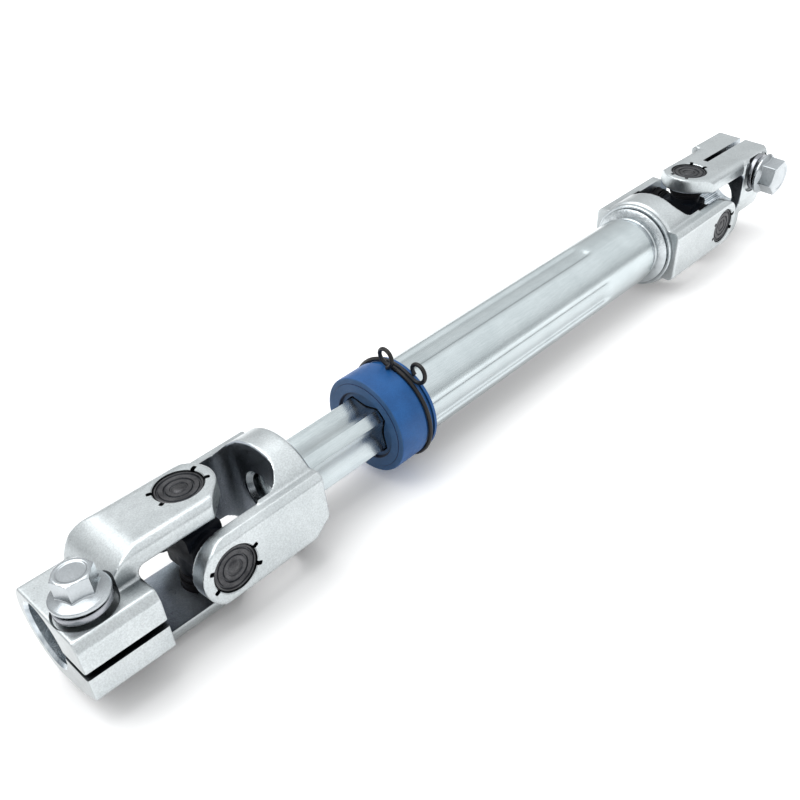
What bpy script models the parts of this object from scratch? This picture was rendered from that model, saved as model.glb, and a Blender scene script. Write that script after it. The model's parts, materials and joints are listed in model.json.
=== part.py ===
"""Intermediate steering shaft: two universal joints on a telescoping shaft, with a splined pinch clamp at each end.

Units are metres. The shaft's axis runs along +X, from the near clamp to the far clamp, and +Z is up. The origin
lies on the floor, under the middle of the assembly. Every yoke is modelled about its own joint centre.
"""

from math import atan2, cos, pi, radians, sin, sqrt

import bmesh
import bpy
from mathutils import Matrix, Vector

# Fits
FIT = 0.00025
PASS = 0.001

# Layout of the whole shaft
BARE_SHAFT = 0.0393
FAR_PHASE = radians(6.8)
NEAR_BEND = radians(-1.75)
FAR_BEND = radians(-1.5)

# Bearing cups, needles and seals
CUP_RADIUS = 0.0075
CUP_WALL = 0.0012
CUP_FLOOR = 0.0014
CUP_LENGTH = 0.0082
CUP_RECESS = 0.0006
NEEDLE_RADIUS = 0.0009
NEEDLES_PER_CUP = 11
NEEDLE_WEB = 0.0008
CUP_EDGE = 0.0005
CUP_DIMPLE = 0.0004
SEAL_LENGTH = 0.0021
STAKE_LENGTH = 0.0014
STAKE_WIDTH = 0.0015
STAKE_DEPTH = 0.0010
STAKE_ANGLE = radians(24)

# Ears, which are alike on all four yokes
EAR_FACE = 0.0209
EAR_WALL = 0.0036

# Yokes on the shaft and on the tube
YOKE_HALF_HEIGHT = 0.0114
YOKE_EAR_THICKNESS = 0.0058
YOKE_CHAMFER = 0.0019
YOKE_THROAT_CORNER = 0.0080
HUB_RADIUS = 0.0195
HUB_BORE_RADIUS = 0.0068
SHAFT_YOKE_LENGTH = 0.0363
SHAFT_YOKE_THROAT = 0.0265
SHAFT_YOKE_CORNER = 0.0066
TUBE_YOKE_LENGTH = 0.0404
TUBE_YOKE_THROAT = 0.0285
STUB_INSIDE = 0.0120

# Arms of both clamp yokes
ARM_FLAT_SIDE = 0.0141
ARM_ROUND_SIDE = 0.0124
ARM_THICKNESS = 0.0063
ARM_EDGE_ROUND = 0.0050
ARM_EDGE_CORNER = 0.0030
ARM_NOSE_CUT = 0.0018
ARM_THROAT_CORNER = 0.0025

# Near clamp, split on its side
NEAR_CLAMP_START = 0.0241
NEAR_CLAMP_LENGTH = 0.0254
NEAR_SHOULDER_START = 0.0205
NEAR_SHOULDER_RADIUS = 0.0140
NEAR_BOSS_WALL = 0.0054
NEAR_FLAT_HEIGHT = 0.0115
NEAR_SIDE_RIM = 0.00205
NEAR_SIDE_DROP = 0.0089
NEAR_SIDE_CHAMFER = 0.0033
NEAR_UNDERSIDE_REACH = 0.0148
NEAR_UNDERSIDE_DROP = 0.0128
NEAR_BOLT_PLACE = 0.0400
NEAR_SEAT_DEPTH = 0.0008
SLIT_WIDTH = 0.0025

# Far clamp, split along its top
FAR_CLAMP_START = 0.0255
FAR_CLAMP_LENGTH = 0.0230
FAR_SHOULDER_START = 0.0240
FAR_SHOULDER_RADIUS = 0.0090
FAR_BOSS_WALL = 0.0047
FAR_HEAD_SIDE = 0.0149
FAR_NUT_SIDE = 0.0141
FAR_TOP_CHAMFER = 0.0016
FAR_END_CUT = 0.0040
FAR_BOLT_PLACE = 0.0358
FAR_BOLT_RISE = 0.0011
FAR_SEAT_DEPTH = 0.0013
FAR_SLIT_START = 0.0138

# Splined bores
SPLINE_TEETH = 32
SPLINE_MINOR_RADIUS = 0.0091
SPLINE_DEPTH = 0.0007
BORE_CHAMFER = 0.0007

# Pinch bolts and their split washers
BOLT_RADIUS = 0.0040
BOLT_INTO_BORE = 0.0012
NEAR_FLANGE_RADIUS = 0.0086
FAR_FLANGE_RADIUS = 0.0092
BOLT_FLANGE_RIM = 0.0010
BOLT_CONE_HEIGHT = 0.0016
NEAR_ACROSS_FLATS = 0.0106
FAR_ACROSS_FLATS = 0.0142
BOLT_HEX_HEIGHT = 0.0060
BOLT_HEX_CHAMFER = 0.0009
BOLT_GRIP = 0.0255
BOLT_TIP = 0.0010
NEAR_BOLT_TURN = radians(49)
FAR_BOLT_TURN = radians(12)
WASHER_RADIUS = 0.0083
WASHER_THICKNESS = 0.0021
WASHER_RISE = 0.0023
WASHER_SPLIT = radians(14)

# Cross
CROSS_BODY_RADIUS = 0.0068
CROSS_CORE = 0.0072
TRUNNION_END_GAP = 0.0004

# Sliding shaft, its nylon sleeve and the tube
BAR_RADIUS = 0.0105
BAR_FLUTE_DEPTH = 0.0027
BAR_FLUTE_HALF_ANGLE = radians(32)
FLUTE_PHASE = radians(4)
SPIGOT_RECESS = 0.0034
BAR_END_ROOM = 0.0360
SLEEVE_WALL = 0.0012
SLEEVE_LENGTH = 0.0670
TUBE_WALL = 0.0026
TUBE_LENGTH = 0.1574
GROOVE_DEPTH = 0.0013
GROOVE_HALF_ANGLE = radians(20)
GROOVE_RUNOUT = 0.0035
PLAIN_TUBE = 0.0330
RIB_HEIGHT = 0.0016
WELD_LENGTH = 0.0086
WELD_NECK_SINK = 0.0012
WELD_BEAD_RISE = 0.0024
WELD_STEP_SINK = 0.0010
WELD_STEP = 0.0016
WELD_NECK = 0.0040

# Wiper collar and wire clip at the tube's mouth
COLLAR_FRONT = 0.0032
COLLAR_LENGTH = 0.0175
COLLAR_WALL = 0.00305
COLLAR_CHAMFER = 0.0006
COLLAR_MOUTH_ROOM = 0.0020
COLLAR_MOUTH_DEPTH = 0.0011
COLLAR_LIP_GAP = 0.0005
CLIP_WIRE_RADIUS = 0.00075
CLIP_INSET = 0.0034
CLIP_GROOVE_DEPTH = 0.0007
CLIP_SHALLOW_ANGLE = radians(95)
CLIP_STEEP_ANGLE = radians(127)
CLIP_EYE_RADIUS = 0.0033
CLIP_EYE_SHARE = 0.95

# Facets of round shapes
ROUND = 32
FINE = 24
SMALL = 18
HUB_FACETS = 48

# Places that follow from the sizes above
EAR_NOSE_RADIUS = CUP_RADIUS + EAR_WALL
YOKE_EAR_INNER = EAR_FACE - YOKE_EAR_THICKNESS
ARM_INNER = EAR_FACE - ARM_THICKNESS
CUP_OUTER_FACE = EAR_FACE - CUP_RECESS
CUP_MOUTH = CUP_OUTER_FACE - CUP_LENGTH
CUP_BORE_RADIUS = CUP_RADIUS - CUP_WALL
TRUNNION_RADIUS = CUP_BORE_RADIUS - 2 * NEEDLE_RADIUS - FIT
TRUNNION_END = CUP_OUTER_FACE - CUP_FLOOR - TRUNNION_END_GAP
CROSS_SHOULDER = CUP_MOUTH - SEAL_LENGTH - 2 * FIT
NEAR_CLAMP_END = NEAR_CLAMP_START + NEAR_CLAMP_LENGTH
FAR_CLAMP_END = FAR_CLAMP_START + FAR_CLAMP_LENGTH
SPLINE_MAJOR_RADIUS = SPLINE_MINOR_RADIUS + SPLINE_DEPTH
BORE_MOUTH_RADIUS = SPLINE_MAJOR_RADIUS + BORE_CHAMFER
NEAR_BOSS_RADIUS = SPLINE_MAJOR_RADIUS + NEAR_BOSS_WALL
FAR_BOSS_RADIUS = SPLINE_MAJOR_RADIUS + FAR_BOSS_WALL
BOLT_OFFSET = SPLINE_MINOR_RADIUS + BOLT_RADIUS - BOLT_INTO_BORE
BOLT_HOLE_RADIUS = BOLT_RADIUS + FIT
NEAR_SEAT_RADIUS = NEAR_FLANGE_RADIUS + 3 * FIT
FAR_SEAT_RADIUS = FAR_FLANGE_RADIUS + 3 * FIT
NEAR_SIDE_REACH = BOLT_OFFSET + NEAR_SEAT_RADIUS + NEAR_SIDE_RIM
WASHER_HEIGHT = WASHER_THICKNESS + WASHER_RISE
NEAR_SEAT = NEAR_FLAT_HEIGHT - NEAR_SEAT_DEPTH
FAR_SEAT = FAR_HEAD_SIDE - FAR_SEAT_DEPTH
SPIGOT_RADIUS = HUB_BORE_RADIUS - FIT
SLEEVE_RADIUS = BAR_RADIUS + FIT + SLEEVE_WALL
TUBE_BORE_RADIUS = SLEEVE_RADIUS + FIT
TUBE_RADIUS = TUBE_BORE_RADIUS + TUBE_WALL
TUBE_START = SHAFT_YOKE_LENGTH + BARE_SHAFT
TUBE_END = TUBE_START + TUBE_LENGTH
TUBE_YOKE_REAR = TUBE_END + WELD_LENGTH
JOINT_SPAN = TUBE_YOKE_REAR + TUBE_YOKE_LENGTH
GROOVE_END = TUBE_END - PLAIN_TUBE
BAR_END = TUBE_END - STUB_INSIDE - BAR_END_ROOM
SLEEVE_START = BAR_END - SLEEVE_LENGTH
WELD_NECK_RADIUS = TUBE_RADIUS - WELD_NECK_SINK
WELD_BEAD_RADIUS = TUBE_RADIUS + WELD_BEAD_RISE
WELD_STEP_RADIUS = HUB_RADIUS - WELD_STEP_SINK
COLLAR_START = TUBE_START - COLLAR_FRONT
COLLAR_END = COLLAR_START + COLLAR_LENGTH
COLLAR_RADIUS = TUBE_RADIUS + FIT + COLLAR_WALL
COLLAR_MOUTH_RADIUS = BAR_RADIUS + COLLAR_MOUTH_ROOM
CLIP_PLACE = COLLAR_END - CLIP_INSET
CLIP_SEAT_RADIUS = COLLAR_RADIUS - CLIP_GROOVE_DEPTH
CLIP_RADIUS = CLIP_SEAT_RADIUS + CLIP_WIRE_RADIUS + FIT
CLIP_GROOVE_REACH = 2 * CLIP_WIRE_RADIUS + 2 * FIT


def material(name, colour, roughness, metallic):
    """A Principled material of one plain colour."""
    made = bpy.data.materials.new(name)
    made.use_nodes = True
    shader = made.node_tree.nodes["Principled BSDF"]
    shader.inputs["Base Color"].default_value = (*colour, 1.0)
    shader.inputs["Roughness"].default_value = roughness
    shader.inputs["Metallic"].default_value = metallic
    return made


def arc(centre, radius, start, end, steps):
    """Points of an arc in a plane, both ends included."""
    turns = [start + (end - start) * step / steps for step in range(steps + 1)]
    return [(centre[0] + radius * cos(turn), centre[1] + radius * sin(turn)) for turn in turns]


def new_object(name, bm):
    """An object that holds the finished bmesh, with its faces turned outwards."""
    bmesh.ops.recalc_face_normals(bm, faces=bm.faces)
    mesh = bpy.data.meshes.new(name)
    bm.to_mesh(mesh)
    bm.free()
    made = bpy.data.objects.new(name, mesh)
    bpy.context.scene.collection.objects.link(made)
    return made


def prism(name, outline, axis, low, high):
    """An outline extruded along an axis. Its points are (Y, Z), (X, Z) or (X, Y) for the axes X, Y and Z."""
    bm = bmesh.new()
    places = {"X": lambda a, b, c: (c, a, b), "Y": lambda a, b, c: (a, c, b), "Z": lambda a, b, c: (a, b, c)}
    place = places[axis]
    ends = [[bm.verts.new(place(a, b, level)) for a, b in outline] for level in (low, high)]
    count = len(outline)
    for index in range(count):
        after = (index + 1) % count
        bm.faces.new((ends[0][index], ends[0][after], ends[1][after], ends[1][index]))
    bm.faces.new(ends[0])
    bm.faces.new(ends[1])
    return new_object(name, bm)


def turned(name, profile, axis, segments):
    """A solid turned about an axis from a closed profile of (distance along the axis, radius) points."""
    bm = bmesh.new()
    rings = []
    for along, radius in profile:
        if radius == 0:
            rings.append([bm.verts.new((along, 0, 0))])
            continue
        turns = [2 * pi * step / segments for step in range(segments)]
        rings.append([bm.verts.new((along, radius * cos(turn), radius * sin(turn))) for turn in turns])
    for first, second in zip(rings, rings[1:] + rings[:1]):
        if len(first) == 1 and len(second) == 1:
            continue
        for step in range(segments):
            after = (step + 1) % segments
            corners = [first[step % len(first)], first[after % len(first)]]
            corners += [second[after % len(second)], second[step % len(second)]]
            bm.faces.new(list(dict.fromkeys(corners)))
    turn_to = {"X": Matrix(), "Y": Matrix.Rotation(pi / 2, 4, "Z"), "Z": Matrix.Rotation(-pi / 2, 4, "Y")}
    bmesh.ops.transform(bm, matrix=turn_to[axis], verts=bm.verts)
    return new_object(name, bm)


def lofted(name, rings):
    """A ring-shaped tube through closed loops of points, the last loop joined to the first."""
    bm = bmesh.new()
    loops = [[bm.verts.new(point) for point in ring] for ring in rings]
    for first, second in zip(loops, loops[1:] + loops[:1]):
        count = len(first)
        for index in range(count):
            after = (index + 1) % count
            bm.faces.new((first[index], first[after], second[after], second[index]))
    return new_object(name, bm)


def swept(name, rings):
    """A solid through closed loops of points, capped at both ends."""
    bm = bmesh.new()
    loops = [[bm.verts.new(point) for point in ring] for ring in rings]
    for first, second in zip(loops, loops[1:]):
        count = len(first)
        for index in range(count):
            after = (index + 1) % count
            bm.faces.new((first[index], first[after], second[after], second[index]))
    bm.faces.new(loops[0])
    bm.faces.new(loops[-1])
    return new_object(name, bm)


def combine(body, tool, operation):
    """Joins, cuts or intersects the body with the tool, which is used up."""
    modifier = body.modifiers.new(operation.lower(), "BOOLEAN")
    modifier.operation = operation
    modifier.solver = "EXACT"
    modifier.object = tool
    graph = bpy.context.evaluated_depsgraph_get()
    result = bpy.data.meshes.new_from_object(body.evaluated_get(graph))
    body.modifiers.clear()
    body.data = result
    bpy.data.objects.remove(tool)
    return body


def join(body, tool):
    return combine(body, tool, "UNION")


def cut(body, tool):
    return combine(body, tool, "DIFFERENCE")


def common(body, tool):
    return combine(body, tool, "INTERSECT")


def placed(piece, parent, finish):
    """Names the piece's mesh, gives it its finish and smooth rounds, and hangs it on its parent."""
    bm = bmesh.new()
    bm.from_mesh(piece.data)
    bmesh.ops.remove_doubles(bm, verts=bm.verts, dist=1e-6)
    bmesh.ops.dissolve_limit(bm, angle_limit=radians(0.2), verts=bm.verts, edges=bm.edges)
    bmesh.ops.triangulate(bm, faces=bm.faces)
    bm.to_mesh(piece.data)
    bm.free()
    piece.data.name = piece.name
    piece.data.materials.clear()
    piece.data.materials.append(finish)
    piece.data.shade_smooth()
    piece.data.set_sharp_from_angle(angle=radians(32))
    piece.parent = parent
    return piece


def empty(name, parent, location=(0, 0, 0), turn=(0, 0, 0)):
    """A joint's frame, which carries the pieces that move with it."""
    made = bpy.data.objects.new(name, None)
    made.empty_display_size = EAR_NOSE_RADIUS
    made.location = location
    made.rotation_euler = turn
    made.parent = parent
    bpy.context.scene.collection.objects.link(made)
    return made


def cup_holes(body, axis):
    """Bores both ears on one axis for the cups, and marks four stakes round each bore."""
    reach = EAR_FACE + PASS
    radius = CUP_RADIUS + FIT
    for side in (-1, 1):
        cut(body, turned("bore", [(0, 0), (0, radius), (side * reach, radius), (side * reach, 0)], axis, ROUND))
        for stake in (STAKE_ANGLE, pi - STAKE_ANGLE, pi + STAKE_ANGLE, -STAKE_ANGLE):
            cut(body, stake_notch(axis, side, stake))
    return body


def stake_notch(axis, side, angle):
    """A shallow notch at the bore's rim, where the ear was punched over the cup."""
    inner = CUP_RADIUS - PASS / 2
    outer = CUP_RADIUS + FIT + STAKE_LENGTH
    half = STAKE_WIDTH / 2
    outline = [(inner, -half), (outer, -half), (outer, half), (inner, half)]
    levels = sorted((side * (EAR_FACE - STAKE_DEPTH), side * (EAR_FACE + PASS)))
    tool = prism("stake", outline, "Z", levels[0], levels[1])
    turn = Matrix.Rotation(angle, 4, "Z")
    if axis == "Y":
        turn = Matrix.Rotation(-pi / 2, 4, "X") @ turn
    tool.data.transform(turn)
    return tool


def spline_cutter(low, high):
    """The toothed bore and its chamfered mouths, along X between two ends."""
    outline = []
    pitch = 2 * pi / SPLINE_TEETH
    for tooth in range(SPLINE_TEETH):
        for share, depth in ((0.0, 0), (0.33, SPLINE_DEPTH), (0.67, SPLINE_DEPTH)):
            turn = (tooth + share) * pitch
            radius = SPLINE_MINOR_RADIUS + depth
            outline.append((radius * cos(turn), radius * sin(turn)))
    tool = prism("teeth", outline, "X", low - PASS, high + PASS)
    wide = BORE_MOUTH_RADIUS
    narrow = SPLINE_MINOR_RADIUS - PASS
    for face, way in ((low, 1), (high, -1)):
        outside = face - way * PASS * 2
        inside = face + way * (wide - narrow)
        profile = [(outside, 0), (outside, wide), (face, wide), (inside, narrow), (inside, 0)]
        join(tool, turned("mouth", profile, "X", ROUND))
    return tool


def mirrored(body):
    """Turns a body that runs to -X into one that runs to +X, or the other way round."""
    body.data.transform(Matrix.Diagonal((-1, 1, 1, 1)))
    body.data.flip_normals()
    return body


def pinch_bolt(name, across_flats, flange_radius):
    """A flanged hex bolt along +Z, with the flange's underside at Z = 0."""
    rim = BOLT_FLANGE_RIM
    cone = rim + BOLT_CONE_HEIGHT
    top = cone + BOLT_HEX_HEIGHT
    hex_corner = across_flats / sqrt(3)
    neck = across_flats / 2
    profile = [(-BOLT_GRIP, 0), (-BOLT_GRIP, BOLT_RADIUS - BOLT_TIP), (-BOLT_GRIP + BOLT_TIP, BOLT_RADIUS)]
    profile += [(0, BOLT_RADIUS), (0, flange_radius), (rim, flange_radius), (cone, neck)]
    profile += [(cone + PASS / 2, neck - PASS / 2), (cone + PASS / 2, 0)]
    body = turned(name, profile, "Z", FINE)
    head = prism("hex", arc((0, 0), hex_corner, 0, 2 * pi * 5 / 6, 5), "Z", rim, top)
    wide = hex_corner + PASS
    crown = [(0, 0), (0, wide), (top - BOLT_HEX_CHAMFER, wide), (top, wide - 2.4 * BOLT_HEX_CHAMFER)]
    crown += [(top + PASS, wide - 4.8 * BOLT_HEX_CHAMFER), (top + PASS, 0)]
    common(head, turned("crown", crown, "Z", FINE))
    return join(body, head)


def split_washer(name):
    """A spring washer along +Z, one turn of square wire that climbs by its rise, with its low end at Z = 0."""
    inner = BOLT_RADIUS + FIT
    steps = 30
    rings = []
    for step in range(steps + 1):
        share = step / steps
        turn = WASHER_SPLIT / 2 + (2 * pi - WASHER_SPLIT) * share
        low = WASHER_RISE * share
        high = low + WASHER_THICKNESS
        corners = ((inner, low), (WASHER_RADIUS, low), (WASHER_RADIUS, high), (inner, high))
        rings.append([(radius * cos(turn), radius * sin(turn), level) for radius, level in corners])
    return swept(name, rings)


def clamp_arms(name, shoulder, shoulder_radius):
    """A clamp yoke's two arms, still joined. Each is the other turned half round about the shaft's axis."""
    upper = upper_arm(name, shoulder, shoulder_radius)
    lower = upper_arm("lower_arm", shoulder, shoulder_radius)
    lower.data.transform(Matrix.Rotation(pi, 4, "X"))
    return join(upper, lower)


def upper_arm(name, shoulder, shoulder_radius):
    """The arm above the shaft's axis, still solid below: a nose round the cup, and a round shoulder at the back."""
    nose = EAR_NOSE_RADIUS
    back = shoulder + shoulder_radius
    side = [(nose + PASS, EAR_FACE)]
    side += arc((-shoulder, EAR_FACE - shoulder_radius), shoulder_radius, pi / 2, pi, 8)
    side += [(-back, -PASS), (nose + PASS, -PASS)]
    body = prism(name, side, "Y", -ARM_FLAT_SIDE, ARM_ROUND_SIDE)
    flat, rounded = ARM_FLAT_SIDE + PASS, ARM_ROUND_SIDE + PASS
    quarter = radians(44)
    plan = [(-back - PASS, -flat), (ARM_NOSE_CUT - PASS, -flat)]
    plan += arc((0, 0), nose, -quarter, quarter, 10)
    plan += [(ARM_NOSE_CUT, rounded), (-back - PASS, rounded)]
    common(body, prism("plan", plan, "Z", -EAR_FACE - PASS, EAR_FACE + PASS))
    return common(body, prism("section", arm_section(), "X", -back - PASS, nose + PASS))


def arm_section():
    """The upper arm's outline across the shaft, with a wide round along one edge and a tighter one opposite."""
    wide = (ARM_ROUND_SIDE - ARM_EDGE_ROUND, EAR_FACE - ARM_EDGE_ROUND)
    tight = (-ARM_FLAT_SIDE + ARM_EDGE_CORNER, EAR_FACE - ARM_EDGE_CORNER)
    outline = arc(wide, ARM_EDGE_ROUND, 0, pi / 2, 6) + arc(tight, ARM_EDGE_CORNER, pi / 2, pi, 4)
    return outline + [(-ARM_FLAT_SIDE, -2 * PASS), (ARM_ROUND_SIDE, -2 * PASS)]


def clamp_throat(start):
    """The space between a clamp yoke's arms, with rounded corners at its floor."""
    corner = ARM_THROAT_CORNER
    upper = [(EAR_NOSE_RADIUS + PASS, ARM_INNER)]
    upper += arc((-start + corner, ARM_INNER - corner), corner, pi / 2, pi, 6)
    outline = upper + [(x, -z) for x, z in reversed(upper)]
    wide = NEAR_SIDE_REACH + PASS
    return prism("throat", outline, "Y", -wide, wide)


def near_clamp_yoke():
    """The clamp yoke whose block is split on its -Y side and pinched by an upright bolt."""
    body = clamp_arms("near_clamp_yoke", NEAR_SHOULDER_START, NEAR_SHOULDER_RADIUS)
    start, end = NEAR_CLAMP_START, NEAR_CLAMP_END
    flat, boss, side = NEAR_FLAT_HEIGHT, NEAR_BOSS_RADIUS, NEAR_SIDE_REACH
    last = atan2(flat, sqrt(boss**2 - flat**2))
    section = arc((0, 0), boss, radians(-105), last, 16)
    section += [(-side + NEAR_SIDE_CHAMFER / 2, flat), (-side, flat - NEAR_SIDE_CHAMFER)]
    section += [(-side, -NEAR_SIDE_DROP), (-NEAR_UNDERSIDE_REACH, -NEAR_UNDERSIDE_DROP)]
    join(body, prism("block", section, "X", -end, -start))
    cut(body, clamp_throat(start))
    well = [(NEAR_SEAT, 0), (NEAR_SEAT, NEAR_SEAT_RADIUS), (end, NEAR_SEAT_RADIUS), (end, 0)]
    hole = [(-end, 0), (-end, BOLT_HOLE_RADIUS), (end, BOLT_HOLE_RADIUS), (end, 0)]
    for tool in (turned("well", well, "Z", ROUND), turned("hole", hole, "Z", FINE)):
        tool.data.transform(Matrix.Translation((-NEAR_BOLT_PLACE, -BOLT_OFFSET, 0)))
        cut(body, tool)
    cut(body, spline_cutter(-end, -start))
    half = SLIT_WIDTH / 2
    slit = [(-side - PASS, -half), (0, -half), (0, half), (-side - PASS, half)]
    cut(body, prism("slit", slit, "X", -end - PASS, -start + PASS))
    return cup_holes(body, "Z")


def far_clamp_yoke():
    """The clamp yoke whose block is split along its top and pinched by a level bolt with its head at -Y."""
    body = clamp_arms("far_clamp_yoke", FAR_SHOULDER_START, FAR_SHOULDER_RADIUS)
    start, end = FAR_CLAMP_START, FAR_CLAMP_END
    boss, chamfer = FAR_BOSS_RADIUS, FAR_TOP_CHAMFER
    low = sqrt(boss**2 - FAR_NUT_SIDE**2)
    section = arc((0, 0), boss, pi, 2 * pi - atan2(low, FAR_NUT_SIDE), 16)
    section += [(FAR_NUT_SIDE, EAR_FACE - chamfer), (FAR_NUT_SIDE - chamfer, EAR_FACE)]
    section += [(-FAR_HEAD_SIDE + chamfer, EAR_FACE), (-FAR_HEAD_SIDE, EAR_FACE - chamfer), (-FAR_HEAD_SIDE, 0)]
    join(body, prism("block", section, "X", -end, -start))
    corner = [(-end - PASS, -FAR_HEAD_SIDE - PASS), (-end + FAR_END_CUT + PASS, -FAR_HEAD_SIDE - PASS)]
    corner += [(-end - PASS, -FAR_HEAD_SIDE + FAR_END_CUT + PASS)]
    cut(body, prism("corner", corner, "Z", -EAR_FACE - PASS, EAR_FACE + PASS))
    cut(body, clamp_throat(start))
    well = [(-end, 0), (-end, FAR_SEAT_RADIUS), (-FAR_SEAT, FAR_SEAT_RADIUS), (-FAR_SEAT, 0)]
    hole = [(-end, 0), (-end, BOLT_HOLE_RADIUS), (end, BOLT_HOLE_RADIUS), (end, 0)]
    for tool in (turned("well", well, "Y", ROUND), turned("hole", hole, "Y", FINE)):
        tool.data.transform(Matrix.Translation((-FAR_BOLT_PLACE, 0, BOLT_OFFSET + FAR_BOLT_RISE)))
        cut(body, tool)
    cut(body, spline_cutter(-end, -start))
    half = SLIT_WIDTH / 2
    slit = [(-half, 0), (half, 0), (half, EAR_FACE + PASS), (-half, EAR_FACE + PASS)]
    cut(body, prism("slit", slit, "X", -end - PASS, -FAR_SLIT_START))
    return mirrored(cup_holes(body, "Z"))


def shaft_side_yoke(name, length, throat_floor, corner):
    """A yoke whose two ears stand on the Y axis, with a round hub that runs to +X."""
    high = YOKE_HALF_HEIGHT
    rear = [(length - corner * 4 / 3, -high), (length, -high + corner), (length, high)]
    side = list(dict.fromkeys(rear)) + arc((0, 0), high, pi / 2, 3 * pi / 2, 16)
    body = prism(name, side, "Y", -EAR_FACE, EAR_FACE)
    section = []
    for y, z in ((1, 1), (-1, 1), (-1, -1), (1, -1)):
        edge = [(y * EAR_FACE, z * (high - YOKE_CHAMFER)), (y * (EAR_FACE - YOKE_CHAMFER), z * high)]
        section += edge if y * z > 0 else edge[::-1]
    common(body, prism("section", section, "X", -high - PASS, length + PASS))
    inner = YOKE_EAR_INNER
    hub = [(inner, 0), (inner, HUB_RADIUS), (length, HUB_RADIUS), (length, 0)]
    join(body, turned("hub", hub, "X", HUB_FACETS))
    round_corner = YOKE_THROAT_CORNER
    throat = [(-high - PASS, -inner)]
    throat += arc((throat_floor - round_corner, round_corner - inner), round_corner, -pi / 2, 0, 8)
    throat += arc((throat_floor - round_corner, inner - round_corner), round_corner, 0, pi / 2, 8)
    throat += [(-high - PASS, inner)]
    return cut(body, prism("throat", throat, "Z", -HUB_RADIUS - PASS, HUB_RADIUS + PASS))


def shaft_yoke():
    """The yoke on the sliding shaft, bored through for the shaft's spigot."""
    body = shaft_side_yoke("shaft_yoke", SHAFT_YOKE_LENGTH, SHAFT_YOKE_THROAT, SHAFT_YOKE_CORNER)
    end = SHAFT_YOKE_LENGTH + PASS
    hole = [(0, 0), (0, HUB_BORE_RADIUS), (end, HUB_BORE_RADIUS), (end, 0)]
    cut(body, turned("bore", hole, "X", FINE))
    return cup_holes(body, "Y")


def tube_yoke():
    """The yoke on the tube, with a solid stub that fits into the tube's end."""
    body = shaft_side_yoke("tube_yoke", TUBE_YOKE_LENGTH, TUBE_YOKE_THROAT, 0)
    radius = TUBE_BORE_RADIUS - FIT
    tip = TUBE_YOKE_LENGTH + WELD_LENGTH + STUB_INSIDE
    stub = [(TUBE_YOKE_LENGTH - PASS, 0), (TUBE_YOKE_LENGTH - PASS, radius), (tip - PASS, radius)]
    stub += [(tip, radius - PASS), (tip, 0)]
    join(body, turned("stub", stub, "X", FINE))
    return mirrored(cup_holes(body, "Y"))


def cross_bar(name, axis, shoulder_radius):
    """One shouldered bar of the cross, with a trunnion at each end."""
    profile = [(-TRUNNION_END, 0), (-TRUNNION_END, TRUNNION_RADIUS), (-CROSS_SHOULDER, TRUNNION_RADIUS)]
    profile += [(-CROSS_SHOULDER, shoulder_radius), (CROSS_SHOULDER, shoulder_radius)]
    profile += [(CROSS_SHOULDER, TRUNNION_RADIUS), (TRUNNION_END, TRUNNION_RADIUS), (TRUNNION_END, 0)]
    return turned(name, profile, axis, SMALL)


def cross(name):
    """The spider: a core with two shouldered bars, which end in four trunnions."""
    core = CROSS_CORE
    deep = CROSS_BODY_RADIUS - 2 * FIT
    body = prism(name, [(-core, -core), (core, -core), (core, core), (-core, core)], "X", -deep, deep)
    join(body, cross_bar("level", "Y", CROSS_BODY_RADIUS))
    return join(body, cross_bar("upright", "Z", CROSS_BODY_RADIUS - FIT))


def bearing_cup(name):
    """A drawn cup along +Z with its closed end outwards, sunk in the middle of its outer face."""
    out = CUP_OUTER_FACE
    radius = CUP_RADIUS
    floor = out - CUP_FLOOR
    profile = [(CUP_MOUTH, CUP_BORE_RADIUS), (CUP_MOUTH, radius), (out - CUP_EDGE, radius), (out, radius - CUP_EDGE)]
    profile += [(out, radius * 0.72), (out - CUP_DIMPLE, radius * 0.64), (out - CUP_DIMPLE, 0)]
    profile += [(floor, 0), (floor, CUP_BORE_RADIUS)]
    return turned(name, profile, "Z", SMALL)


def needle_set(name):
    """The needles in one cup with the thin cage that spaces them, along +Z."""
    low = CUP_MOUTH + FIT
    high = CUP_OUTER_FACE - CUP_FLOOR - FIT
    pitch_radius = TRUNNION_RADIUS + NEEDLE_RADIUS + FIT / 2
    half_pitch = pi / NEEDLES_PER_CUP
    edge = atan2(NEEDLE_RADIUS * 0.9, pitch_radius)
    reaches = ((-edge, 0.44), (0, 1), (edge, 0.44))
    outer, inner = [], []
    for needle in range(NEEDLES_PER_CUP):
        middle = 2 * half_pitch * needle
        for offset, share in reaches:
            turn = middle + offset
            reach = max(NEEDLE_RADIUS * share, NEEDLE_WEB / 2)
            outer.append(((pitch_radius + reach) * cos(turn), (pitch_radius + reach) * sin(turn)))
            inner.append(((pitch_radius - reach) * cos(turn), (pitch_radius - reach) * sin(turn)))
    loops = ((inner, low), (outer, low), (outer, high), (inner, high))
    return lofted(name, [[(x, y, level) for x, y in loop] for loop, level in loops])


def trunnion_seal(name):
    """The rubber ring between a cup's mouth and the cross's shoulder, along +Z."""
    low = CROSS_SHOULDER + FIT
    high = low + SEAL_LENGTH
    inner = TRUNNION_RADIUS + FIT
    outer = CUP_RADIUS - FIT
    profile = [(low, inner), (low, outer * 0.9), ((low + high) / 2, outer), (high, outer * 0.93), (high, inner)]
    return turned(name, profile, "Z", SMALL)


def bar_radius(offset, grow):
    """The fluted bar's radius at an angle from a flute's middle."""
    share = min(1.0, abs(offset) / BAR_FLUTE_HALF_ANGLE)
    return BAR_RADIUS - BAR_FLUTE_DEPTH * (1 - share**2) + grow


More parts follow.
